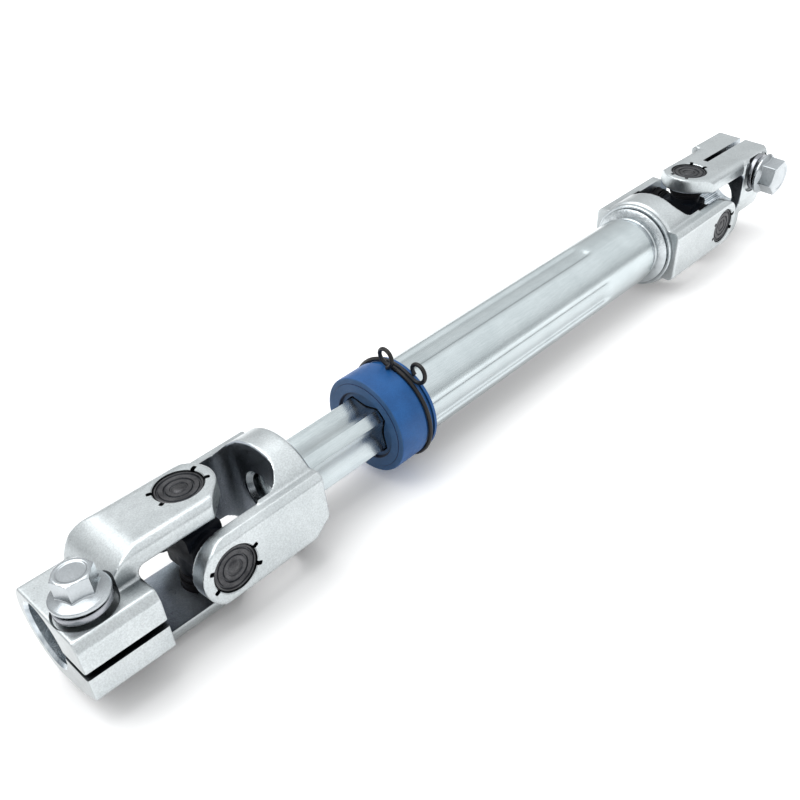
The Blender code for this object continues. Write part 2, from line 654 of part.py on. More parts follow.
def bar_ring(along, grow=0.0):
    """One loop of points round the fluted bar: four lobes with a hollow between each two."""
    half = BAR_FLUTE_HALF_ANGLE
    land = pi / 2 - 2 * half
    offsets = [half * step / 4 for step in range(-4, 5)]
    offsets += [half + land * step / 4 for step in range(1, 4)]
    ring = []
    for quarter in range(4):
        for offset in offsets:
            turn = FLUTE_PHASE + quarter * pi / 2 + offset
            radius = bar_radius(offset, grow)
            ring.append((along, radius * cos(turn), radius * sin(turn)))
    return ring


def inner_shaft():
    """The solid fluted bar, with a round spigot in the shaft yoke's hub."""
    length = SHAFT_YOKE_LENGTH + FIT
    body = swept("inner_shaft", [bar_ring(length), bar_ring(BAR_END)])
    start = SHAFT_YOKE_THROAT + SPIGOT_RECESS
    spigot = [(start, 0), (start, SPIGOT_RADIUS - PASS / 2), (start + PASS / 2, SPIGOT_RADIUS)]
    spigot += [(length + PASS, SPIGOT_RADIUS), (length + PASS, 0)]
    return join(body, turned("spigot", spigot, "X", FINE))


def nylon_sleeve():
    """The moulded sleeve on the bar's hidden end, of one wall that follows the lobes."""
    rings = [bar_ring(SLEEVE_START, FIT), bar_ring(BAR_END, FIT)]
    rings += [bar_ring(BAR_END, FIT + SLEEVE_WALL), bar_ring(SLEEVE_START, FIT + SLEEVE_WALL)]
    return lofted("nylon_sleeve", rings)


def tube_ring(along, radius, depth):
    """One loop of points round the tube, with four hollows in line with the bar's flutes."""
    half = GROOVE_HALF_ANGLE
    offsets = [half * step / 4 for step in range(-4, 5)]
    rest = pi / 2 - 2 * half
    offsets += [half + rest * step / 6 for step in range(1, 6)]
    ring = []
    for quarter in range(4):
        for offset in offsets:
            turn = FLUTE_PHASE + quarter * pi / 2 + offset
            share = min(1.0, abs(offset) / half)
            reach = radius - depth * (1 - share**2)
            ring.append((along, reach * cos(turn), reach * sin(turn)))
    return ring


def outer_tube():
    """The tube, with four grooves pressed in from outside that guide the bar's flutes."""
    edge = PASS / 2
    run = GROOVE_END + GROOVE_RUNOUT
    outside = [(TUBE_START, TUBE_RADIUS, GROOVE_DEPTH), (GROOVE_END, TUBE_RADIUS, GROOVE_DEPTH)]
    outside += [(run, TUBE_RADIUS, 0), (TUBE_END - edge, TUBE_RADIUS, 0), (TUBE_END, TUBE_RADIUS - edge, 0)]
    inside = [(TUBE_END, TUBE_BORE_RADIUS, 0), (run, TUBE_BORE_RADIUS, 0)]
    inside += [(GROOVE_END, TUBE_BORE_RADIUS, RIB_HEIGHT), (TUBE_START, TUBE_BORE_RADIUS, RIB_HEIGHT)]
    return lofted("outer_tube", [tube_ring(*station) for station in outside + inside])


def weld_ring():
    """The stepped bead that fills the joint between the tube and its yoke."""
    start = TUBE_END + FIT
    end = TUBE_YOKE_REAR - FIT
    step = end - WELD_STEP
    neck = start + WELD_NECK
    rise = WELD_BEAD_RADIUS - WELD_NECK_RADIUS
    profile = [(start, TUBE_BORE_RADIUS), (start, WELD_NECK_RADIUS)]
    for part in range(5):
        turn = pi / 2 * part / 4
        profile.append((step - (step - neck) * cos(turn), WELD_NECK_RADIUS + rise * sin(turn)))
    profile += [(step, WELD_STEP_RADIUS - PASS / 3), (step + PASS / 3, WELD_STEP_RADIUS)]
    profile += [(end, WELD_STEP_RADIUS), (end, TUBE_BORE_RADIUS)]
    return turned("weld_ring", profile, "X", ROUND)


def wiper_collar():
    """The plastic cap over the tube's mouth, with a sunk face, a lobed hole that wipes the bar, and a clip groove."""
    start, end = COLLAR_START, COLLAR_END
    edge = COLLAR_CHAMFER
    seat = TUBE_RADIUS + FIT
    web = TUBE_START - FIT
    face = start + COLLAR_MOUTH_DEPTH
    profile = [(face, 0), (face, COLLAR_MOUTH_RADIUS), (start, COLLAR_MOUTH_RADIUS), (start, COLLAR_RADIUS - edge)]
    low, high = CLIP_PLACE - CLIP_GROOVE_REACH, CLIP_PLACE + CLIP_GROOVE_REACH
    profile += [(start + edge, COLLAR_RADIUS), (low, COLLAR_RADIUS), (low, CLIP_SEAT_RADIUS)]
    profile += [(high, CLIP_SEAT_RADIUS), (high, COLLAR_RADIUS)]
    profile += [(end - edge, COLLAR_RADIUS), (end, COLLAR_RADIUS - edge)]
    profile += [(end, seat), (web, seat), (web, 0)]
    body = turned("wiper_collar", profile, "X", HUB_FACETS)
    hole = [bar_ring(start - PASS, COLLAR_LIP_GAP), bar_ring(web + PASS, COLLAR_LIP_GAP)]
    return cut(body, swept("hole", hole))


def clip_eye(angle, way):
    """One eye's centre line, from where the ring's wire leaves the collar to the eye's free end."""
    outward = Vector((0, cos(angle), sin(angle)))
    along = Vector((0, -sin(angle), cos(angle))) * way
    middle = CLIP_PLACE + way * (CLIP_WIRE_RADIUS + FIT / 2)
    steps = 11
    points = []
    for step in range(steps):
        share = step / (steps - 1)
        turn = -pi / 2 + 2 * pi * CLIP_EYE_SHARE * share
        point = outward * (CLIP_RADIUS + CLIP_EYE_RADIUS * (1 + sin(turn))) + along * CLIP_EYE_RADIUS * cos(turn)
        point.x = middle + way * share * (2 * CLIP_WIRE_RADIUS + FIT)
        points.append(point)
    return points


def wire_clip():
    """A ring of wire round the collar, more than one turn long, with an upright eye at each end."""
    aside = CLIP_WIRE_RADIUS + FIT / 2
    middle = CLIP_PLACE
    first = clip_eye(CLIP_SHALLOW_ANGLE, -1)
    last = clip_eye(CLIP_STEEP_ANGLE, 1)
    sweep = 2 * pi + CLIP_STEEP_ANGLE - CLIP_SHALLOW_ANGLE
    steps = 38
    band = []
    for step in range(1, steps):
        share = step / steps
        shift = min(1.0, max(0.0, (share - 0.1) / 0.8)) * 2 - 1
        turn = CLIP_SHALLOW_ANGLE + sweep * share
        band.append(Vector((middle + shift * aside, CLIP_RADIUS * cos(turn), CLIP_RADIUS * sin(turn))))
    route = first[::-1] + band + last
    rings = []
    for index, point in enumerate(route):
        ahead = route[min(index + 1, len(route) - 1)]
        behind = route[max(index - 1, 0)]
        tangent = (ahead - behind).normalized()
        across = Vector((1, 0, 0)).cross(tangent).normalized()
        over = tangent.cross(across)
        turns = [2 * pi * corner / 6 for corner in range(6)]
        rings.append([point + (across * cos(turn) + over * sin(turn)) * CLIP_WIRE_RADIUS for turn in turns])
    return swept("wire_clip", rings)


def bearings(prefix, places, parent, finishes):
    """The cups, needles and seals at two opposite ends of a cross, hung on the yoke that holds them."""
    for place, turn in places:
        pieces = ((bearing_cup, "cup"), (needle_set, "needles"), (trunnion_seal, "seal"))
        for (make, kind), finish in zip(pieces, finishes):
            piece = placed(make(f"{prefix}_{kind}_{place}"), parent, finish)
            piece.rotation_euler = (turn, 0, 0)


def fastener(prefix, parent, seat, turn, twist, head, finishes):
    """A pinch bolt and its split washer on a seat, turned so that the head faces outwards."""
    washer = placed(split_washer(f"{prefix}_lock_washer"), parent, finishes[1])
    bolt = placed(pinch_bolt(f"{prefix}_pinch_bolt", *head), parent, finishes[0])
    out = Matrix.Rotation(turn, 4, "X")
    for piece, height in ((washer, FIT), (bolt, 2 * FIT + WASHER_HEIGHT)):
        piece.matrix_basis = Matrix.Translation(seat) @ out @ Matrix.Translation((0, 0, height))
    bolt.matrix_basis = bolt.matrix_basis @ Matrix.Rotation(twist, 4, "Z")


def stand_on_floor(row):
    """Moves the assembly so that its box stands on the floor with its middle over the origin."""
    bpy.context.view_layer.update()
    corners = [piece.matrix_world @ vertex.co for piece in bpy.data.objects if piece.type == "MESH"
               for vertex in piece.data.vertices]
    low = [min(corner[axis] for corner in corners) for axis in range(3)]
    high = [max(corner[axis] for corner in corners) for axis in range(3)]
    row.location = (-(low[0] + high[0]) / 2, -(low[1] + high[1]) / 2, -low[2])


def main():
    """Builds every piece and hangs it on the frame that it moves with."""
    for old in list(bpy.data.objects):
        bpy.data.objects.remove(old)
    forged = material("zinc_plated_forging", (0.66, 0.68, 0.70), 0.36, 1.0)
    machined = material("zinc_plated_shaft", (0.72, 0.75, 0.78), 0.26, 1.0)
    fastened = material("zinc_plated_fastener", (0.76, 0.79, 0.82), 0.22, 1.0)
    steel = material("bearing_steel", (0.11, 0.10, 0.10), 0.38, 1.0)
    rubber = material("seal_rubber", (0.02, 0.02, 0.02), 0.80, 0.0)
    blue = material("blue_plastic", (0.10, 0.25, 0.38), 0.45, 0.0)
    black = material("black_wire", (0.02, 0.02, 0.025), 0.35, 0.6)
    nylon = material("white_nylon", (0.78, 0.77, 0.72), 0.50, 0.0)
    bearing_finishes = (steel, steel, rubber)
    fastener_finishes = (fastened, fastened)
    sides = (("front", pi / 2), ("back", -pi / 2))
    upright = (("top", 0), ("bottom", pi))

    row = empty("row_frame", None)
    tube = empty("tube_frame", row)
    slide = empty("slide_frame", row)
    near_cross = empty("near_cross_frame", slide)
    near_clamp = empty("near_clamp_frame", near_cross, turn=(0, 0, NEAR_BEND))
    far_joint = empty("far_joint_frame", tube, (JOINT_SPAN, 0, 0), (FAR_PHASE, 0, 0))
    far_cross = empty("far_cross_frame", far_joint)
    far_clamp = empty("far_clamp_frame", far_cross, turn=(0, 0, FAR_BEND))

    placed(near_clamp_yoke(), near_clamp, forged)
    bearings("near", upright, near_clamp, bearing_finishes)
    seat = (-NEAR_BOLT_PLACE, -BOLT_OFFSET, NEAR_SEAT)
    head = (NEAR_ACROSS_FLATS, NEAR_FLANGE_RADIUS)
    fastener("near", near_clamp, seat, 0, NEAR_BOLT_TURN, head, fastener_finishes)
    placed(cross("near_cross"), near_cross, steel)

    placed(shaft_yoke(), slide, forged)
    bearings("near", sides, slide, bearing_finishes)
    placed(inner_shaft(), slide, machined)
    placed(nylon_sleeve(), slide, nylon)

    placed(outer_tube(), tube, machined)
    placed(wiper_collar(), tube, blue)
    placed(wire_clip(), tube, black)
    placed(weld_ring(), tube, fastened)
    placed(tube_yoke(), far_joint, forged)
    bearings("far", sides, far_joint, bearing_finishes)

    placed(cross("far_cross"), far_cross, steel)
    placed(far_clamp_yoke(), far_clamp, forged)
    bearings("far", upright, far_clamp, bearing_finishes)
    seat = (FAR_BOLT_PLACE, -FAR_SEAT, BOLT_OFFSET + FAR_BOLT_RISE)
    head = (FAR_ACROSS_FLATS, FAR_FLANGE_RADIUS)
    fastener("far", far_clamp, seat, pi / 2, FAR_BOLT_TURN, head, fastener_finishes)
    stand_on_floor(row)


main()
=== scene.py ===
"""Studio picture of an intermediate steering shaft: its pieces, finishes, light and camera.

Units are metres, in the frame of the CAD model. Each piece is shaped about its own joint, then set
in its place.
"""

import json
import logging
from dataclasses import dataclass, field
from enum import Enum
from math import atan2, cos, pi, radians, sin, sqrt
from typing import Callable, Iterable, Sequence

import bmesh
import bpy
from mathutils import Matrix, Vector


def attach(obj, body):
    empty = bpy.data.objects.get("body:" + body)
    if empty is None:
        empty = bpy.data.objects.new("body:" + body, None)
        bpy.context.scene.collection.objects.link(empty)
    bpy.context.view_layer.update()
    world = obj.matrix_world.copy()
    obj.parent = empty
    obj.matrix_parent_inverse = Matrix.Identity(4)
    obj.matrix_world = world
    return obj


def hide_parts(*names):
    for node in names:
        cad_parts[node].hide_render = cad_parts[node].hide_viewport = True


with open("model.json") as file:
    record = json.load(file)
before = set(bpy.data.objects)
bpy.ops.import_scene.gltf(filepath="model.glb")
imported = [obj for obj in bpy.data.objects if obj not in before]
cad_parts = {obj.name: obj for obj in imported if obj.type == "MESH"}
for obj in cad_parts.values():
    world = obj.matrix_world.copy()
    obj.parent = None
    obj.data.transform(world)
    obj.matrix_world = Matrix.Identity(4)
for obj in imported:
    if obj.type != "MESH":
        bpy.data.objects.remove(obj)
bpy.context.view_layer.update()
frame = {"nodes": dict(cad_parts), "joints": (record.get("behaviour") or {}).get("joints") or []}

Colour = tuple[float, float, float]
Flat = tuple[float, float]
Loop = list[Flat]
Ring = list[Sequence[float]]
Material = bpy.types.Material
Socket = bpy.types.NodeSocket
Coats = Sequence[tuple[Material, Callable[[Vector, Vector], bool]]]

log = logging.getLogger("scene")

# Fits and layout
FIT = 0.00025
PASS = 0.001
JOINT_SPAN = 0.282
FAR_PHASE = radians(6.8)
NEAR_BEND = radians(-1.75)
FAR_BEND = radians(-1.5)
NEAR_CENTRE = Vector(next(joint["pos_m"] for joint in frame["joints"] if joint["name"] == "near_cross_hinge"))

NEAR_JOINT = Matrix.Translation(NEAR_CENTRE)
NEAR_CLAMP = NEAR_JOINT @ Matrix.Rotation(NEAR_BEND, 4, "Z")
FAR_JOINT = Matrix.Translation(NEAR_CENTRE + Vector((JOINT_SPAN, 0, 0))) @ Matrix.Rotation(FAR_PHASE, 4, "X")
FAR_CLAMP = FAR_JOINT @ Matrix.Rotation(FAR_BEND, 4, "Z")

# Sizes that several pieces share
EAR_FACE = 0.0209
CUP_RADIUS = 0.0075
CUP_RECESS = 0.0006
CUP_LENGTH = 0.0082
CUP_FLOOR = 0.0014
CUP_WALL = 0.0012
EAR_WALL = 0.0036
SEAL_LENGTH = 0.0021
TRUNNION_RADIUS = 0.00425
CUP_OUTER_FACE = EAR_FACE - CUP_RECESS
CUP_MOUTH = CUP_OUTER_FACE - CUP_LENGTH
CROSS_SHOULDER = CUP_MOUTH - SEAL_LENGTH - 2 * FIT
EAR_NOSE_RADIUS = CUP_RADIUS + EAR_WALL
BOLT_RADIUS = 0.0040
WASHER_THICKNESS = 0.0021
WASHER_RISE = 0.0023
SPLINE_MINOR_RADIUS = 0.0091
BOLT_OFFSET = SPLINE_MINOR_RADIUS + BOLT_RADIUS - 0.0012
BAR_RADIUS = 0.0105
BAR_FLUTE_DEPTH = 0.0027
BAR_FLUTE_HALF_ANGLE = radians(32)
FLUTE_PHASE = radians(4)
HUB_RADIUS = 0.0195
SHAFT_YOKE_LENGTH = 0.0363
SHAFT_YOKE_THROAT = 0.0265
TUBE_YOKE_LENGTH = 0.0404
TUBE_START = 0.0756
TUBE_END = TUBE_START + 0.1574
TUBE_RADIUS = 0.0148
TUBE_BORE_RADIUS = 0.0122
COLLAR_START = 0.0724
COLLAR_LENGTH = 0.0175
COLLAR_RADIUS = 0.0181
CLIP_WIRE_RADIUS = 0.00075
CLIP_PLACE = COLLAR_START + COLLAR_LENGTH - 0.0034
CLIP_SEAT_RADIUS = COLLAR_RADIUS - 0.0007

# Facets of round shapes
ROUND = 96
FINE = 64

# Distances that count as none
ON_AXIS = 1e-9
SAME_POINT = 1e-7
SAME_ANGLE = 1e-6


class Axis(Enum):
    """The axis that a shape is turned about or extruded along."""

    X = "X"
    Y = "Y"
    Z = "Z"


class Grain(Enum):
    """The run of a surface's grain, as its scale along each axis."""

    EVEN = (1.0, 1.0, 1.0)
    DRAWN = (0.06, 1.0, 1.0)


class NodeTools:
    """Short ways to build a material's node tree."""

    def __init__(self, material: Material) -> None:
        """Starts on an empty tree of the material."""
        material.use_nodes = True
        self.tree = material.node_tree
        self.tree.nodes.clear()

    def add(self, kind: str, **settings: object) -> bpy.types.Node:
        """Adds a node.

        Args:
            kind: the node's type name.
            settings: properties to set on it.

        Returns:
            The new node.
        """
        node = self.tree.nodes.new(kind)
        for name, value in settings.items():
            setattr(node, name, value)
        return node

    def link(self, start: Socket, end: Socket) -> None:
        """Joins two sockets."""
        self.tree.links.new(start, end)

    def noise(self, vector: Socket, scale: float, detail: float, roughness: float = 0.55) -> Socket:
        """A noise texture's factor.

        Args:
            vector: the coordinates.
            scale: waves per metre.
            detail: octaves.
            roughness: how strong the fine octaves are.

        Returns:
            The factor socket.
        """
        node = self.add("ShaderNodeTexNoise")
        node.inputs["Scale"].default_value = scale
        node.inputs["Detail"].default_value = detail
        node.inputs["Roughness"].default_value = roughness
        self.link(vector, node.inputs["Vector"])
        return node.outputs["Fac"]

    def spread(self, value: Socket, low: float, high: float, start: float = 0.3, end: float = 0.7) -> Socket:
        """Maps a factor between two values.

        Args:
            value: the factor.
            low: the result at start.
            high: the result at end.
            start: the factor that gives low.
            end: the factor that gives high.

        Returns:
            The result socket.
        """
        node = self.add("ShaderNodeMapRange")
        for name, number in (("From Min", start), ("From Max", end), ("To Min", low), ("To Max", high)):
            node.inputs[name].default_value = number
        self.link(value, node.inputs["Value"])
        return node.outputs["Result"]

    def mix(self, factor: Socket, first: "Colour | Socket", second: "Colour | Socket") -> Socket:
        """Mixes two colours, each fixed or from a socket.

        Args:
            factor: 0 gives the first and 1 the second.
            first: one colour.
            second: the other colour.

        Returns:
            The colour socket.
        """
        node = self.add("ShaderNodeMix", data_type="RGBA")
        for socket, colour in ((node.inputs[6], first), (node.inputs[7], second)):
            if isinstance(colour, Socket):
                self.link(colour, socket)
            else:
                socket.default_value = (*colour, 1.0)
        self.link(factor, node.inputs[0])
        return node.outputs[2]

    def scaled(self, colour: Socket, factor: Socket) -> Socket:
        """Multiplies a colour by a factor.

        Args:
            colour: the colour.
            factor: the factor.

        Returns:
            The colour socket.
        """
        node = self.add("ShaderNodeVectorMath", operation="SCALE")
        self.link(colour, node.inputs[0])
        self.link(factor, node.inputs["Scale"])
        return node.outputs["Vector"]


@dataclass(frozen=True)
class Finish:
    """One surface: its colours, how rough it is, the size and depth of its grain, and the painted shade in
    its hollows.
    """

    name: str
    light: Colour
    dark: Colour
    roughness: Flat
    metallic: float = 1.0
    grain: Grain = Grain.EVEN
    patches: float = 90.0
    grains: float = 1900.0
    height: float = 0.00004
    strength: float = 0.35
    specular: float = 0.5
    speckle: float = 0.06
    # The last three fields paint shade: the dark colour that enclosed faces darken to, how far ambient
    # occlusion looks, and the occlusion range over which the colour darkens.
    hollow: Colour = (0.012, 0.018, 0.028)
    painted_shade_reach: float = 0.030
    painted_shade_share: Flat = (0.35, 0.95)

    def build(self) -> Material:
        """Makes the material with its procedural colour, roughness and relief, and with painted shade that
        darkens the colour where the surface is enclosed.

        Returns:
            The material.
        """
        material = bpy.data.materials.new(self.name)
        tools = NodeTools(material)
        output = tools.add("ShaderNodeOutputMaterial")
        shader = tools.add("ShaderNodeBsdfPrincipled")
        tools.link(shader.outputs["BSDF"], output.inputs["Surface"])
        shader.inputs["Metallic"].default_value = self.metallic
        shader.inputs["Specular IOR Level"].default_value = self.specular
        place = tools.add("ShaderNodeTexCoord").outputs["Object"]
        stretch = tools.add("ShaderNodeMapping")
        stretch.inputs["Scale"].default_value = self.grain.value
        tools.link(place, stretch.inputs["Vector"])
        run = stretch.outputs["Vector"]
        patch = tools.noise(place, self.patches, detail=4.0)
        fine = tools.noise(run, self.grains, detail=5.0, roughness=0.65)
        colour = tools.mix(tools.spread(patch, 0.0, 1.0, start=0.35, end=0.68), self.light, self.dark)
        specks = tools.spread(fine, 1.0 - self.speckle, 1.0 + self.speckle, start=0.40, end=0.60)
        colour = tools.scaled(colour, specks)
        # Painted shade: ambient occlusion darkens the colour towards the hollow colour in creases, recesses
        # and between parts.
        sky = tools.add("ShaderNodeAmbientOcclusion", samples=6, only_local=True)
        sky.inputs["Distance"].default_value = self.painted_shade_reach
        shade = tools.spread(sky.outputs["AO"], 0.0, 1.0, *self.painted_shade_share)
        tools.link(tools.mix(shade, self.hollow, colour), shader.inputs["Base Color"])
        wear = tools.noise(run, self.patches * 5.0, detail=6.0, roughness=0.7)
        tools.link(tools.spread(wear, *self.roughness), shader.inputs["Roughness"])
        bump = tools.add("ShaderNodeBump")
        bump.inputs["Strength"].default_value = self.strength
        bump.inputs["Distance"].default_value = self.height
        tools.link(fine, bump.inputs["Height"])
        tools.link(bump.outputs["Normal"], shader.inputs["Normal"])
        return material


@dataclass(frozen=True)
class Finishes:
    """Every finish of the shaft."""

    forged: Finish = Finish(
        "zinc_forging", (0.59, 0.625, 0.635), (0.51, 0.545, 0.555), (0.26, 0.40), patches=70.0,
        height=0.00010, strength=0.45, speckle=0.10, painted_shade_share=(0.42, 0.97)
    )
    # A darker copy of the forging with stronger occlusion darkening: painted shade for the faces between the
    # arms and the ears.
    shade: Finish = Finish(
        "zinc_throat_painted_shade", (0.50, 0.55, 0.60), (0.40, 0.44, 0.50), (0.26, 0.40), patches=70.0, height=0.00010,
        strength=0.45, speckle=0.10, hollow=(0.010, 0.016, 0.028), painted_shade_share=(0.62, 1.0)
    )
    sawn: Finish = Finish(
        "zinc_end_face", (0.46, 0.485, 0.49), (0.41, 0.435, 0.44), (0.26, 0.38), grains=2600.0, strength=0.3
    )
    # Machined metal whose pale bluish patches are painted reflections and whose dark patches are painted
    # shade, on the bores, the hub's chamfer and the slit that take it.
    bored: Finish = Finish(
        "zinc_machined_painted_sheen", (0.78, 0.84, 0.88), (0.14, 0.17, 0.20), (0.20, 0.30), patches=95.0, grains=2600.0,
        height=0.00003, strength=0.25, painted_shade_reach=0.010, painted_shade_share=(0.0, 0.60)
    )
    shaft: Finish = Finish(
        "zinc_drawn", (0.565, 0.62, 0.635), (0.515, 0.57, 0.585), (0.20, 0.28), grain=Grain.DRAWN,
        grains=2600.0, height=0.00003, strength=0.2, speckle=0.03
    )
    # Its occlusion settings paint shade at the base of the hex and under the flange.
    fastener: Finish = Finish(
        "zinc_fastener", (0.49, 0.52, 0.54), (0.40, 0.43, 0.45), (0.16, 0.26), grains=2200.0, strength=0.22,
        speckle=0.05, hollow=(0.02, 0.03, 0.04), painted_shade_reach=0.0050, painted_shade_share=(0.38, 0.97)
    )
    weld: Finish = Finish(
        "zinc_weld", (0.60, 0.64, 0.66), (0.46, 0.50, 0.52), (0.16, 0.26), patches=130.0, grains=330.0,
        height=0.0007, strength=0.60, speckle=0.05, hollow=(0.03, 0.04, 0.05), painted_shade_reach=0.0045,
        painted_shade_share=(0.30, 0.92)
    )
    # The washer's steel colour, darkened as painted shade under the bolt's flange.
    spring: Finish = Finish(
        "spring_steel_painted_shade", (0.36, 0.37, 0.40), (0.26, 0.27, 0.29), (0.20, 0.32), grains=2400.0, height=0.00003,
        strength=0.25
    )
    cup: Finish = Finish(
        "bearing_cup", (0.098, 0.098, 0.102), (0.046, 0.046, 0.049), (0.28, 0.46), patches=260.0,
        grains=3000.0, strength=0.4, speckle=0.2, painted_shade_reach=0.0012, painted_shade_share=(0.35, 0.85)
    )
    # Nearly black and barely metallic: painted shade for the shaded middle of the joint, not the steel's own
    # colour.
    core: Finish = Finish(
        "cross_painted_shade", (0.010, 0.012, 0.016), (0.005, 0.006, 0.009), (0.50, 0.66), metallic=0.2,
        grains=2000.0, strength=0.4, specular=0.12
    )
    rubber: Finish = Finish(
        "seal_rubber", (0.010, 0.010, 0.012), (0.006, 0.006, 0.007), (0.60, 0.80), metallic=0.0,
        grains=2400.0, specular=0.2
    )
    blue: Finish = Finish(
        "blue_plastic", (0.011, 0.082, 0.252), (0.007, 0.062, 0.198), (0.34, 0.50), metallic=0.0,
        patches=140.0, grains=2200.0, height=0.00005, strength=0.3, specular=0.3,
        hollow=(0.002, 0.008, 0.025), painted_shade_reach=0.003, painted_shade_share=(0.30, 0.85)
    )
    wire: Finish = Finish(
        "black_wire", (0.011, 0.010, 0.010), (0.006, 0.005, 0.005), (0.30, 0.44), metallic=0.0,
        grain=Grain.DRAWN, strength=0.2, specular=0.3
    )
    # Near-black blue for the collar's step, mouth wall and hole wall: painted shade.
    rim: Finish = Finish(
        "painted_shade_rim", (0.006, 0.020, 0.070), (0.004, 0.014, 0.050), (0.45, 0.60), metallic=0.0, specular=0.2
    )
    # A greyer, darker copy of the blue for faces that look to the front: painted shade.
    face: Finish = Finish(
        "plastic_face_painted_shade", (0.032, 0.088, 0.198), (0.022, 0.066, 0.152), (0.40, 0.55), metallic=0.0,
        specular=0.2, hollow=(0.002, 0.008, 0.025), painted_shade_reach=0.003, painted_shade_share=(0.30, 0.85)
    )
    nylon: Finish = Finish(
        "natural_nylon", (0.74, 0.72, 0.66), (0.66, 0.64, 0.58), (0.40, 0.55), metallic=0.0
    )


def arc(centre: Flat, radius: float, start: float, end: float, steps: int) -> Loop:
    """Points of an arc in a plane, both ends included.

    Args:
        centre: the arc's centre.
        radius: its radius.
        start: the first angle.
        end: the last angle.
        steps: how many chords it takes.

    Returns:
        The points in order.
    """
    turns = [start + (end - start) * step / steps for step in range(steps + 1)]
    return [(centre[0] + radius * cos(turn), centre[1] + radius * sin(turn)) for turn in turns]


def filleted(outline: Loop, radius: float, steps: int = 3) -> Loop:
    """Rounds the corners of a closed outline.

    Args:
        outline: the corners in order.
        radius: how far each round reaches along the sides, at most.
        steps: chords in each round.

    Returns:
        The rounded outline.
    """
    made: Loop = []
    count = len(outline)
    most = 0.45
    for index, corner in enumerate(outline):
        here = Vector(corner)
        before = Vector(outline[index - 1]) - here
        after = Vector(outline[(index + 1) % count]) - here
        reach = min(radius, before.length * most, after.length * most)
        first = here + before.normalized() * reach
        last = here + after.normalized() * reach
        for step in range(steps + 1):
            share = step / steps
            point = first * (1 - share) ** 2 + here * 2 * share * (1 - share) + last * share**2
            made.append((point.x, point.y))
    return made


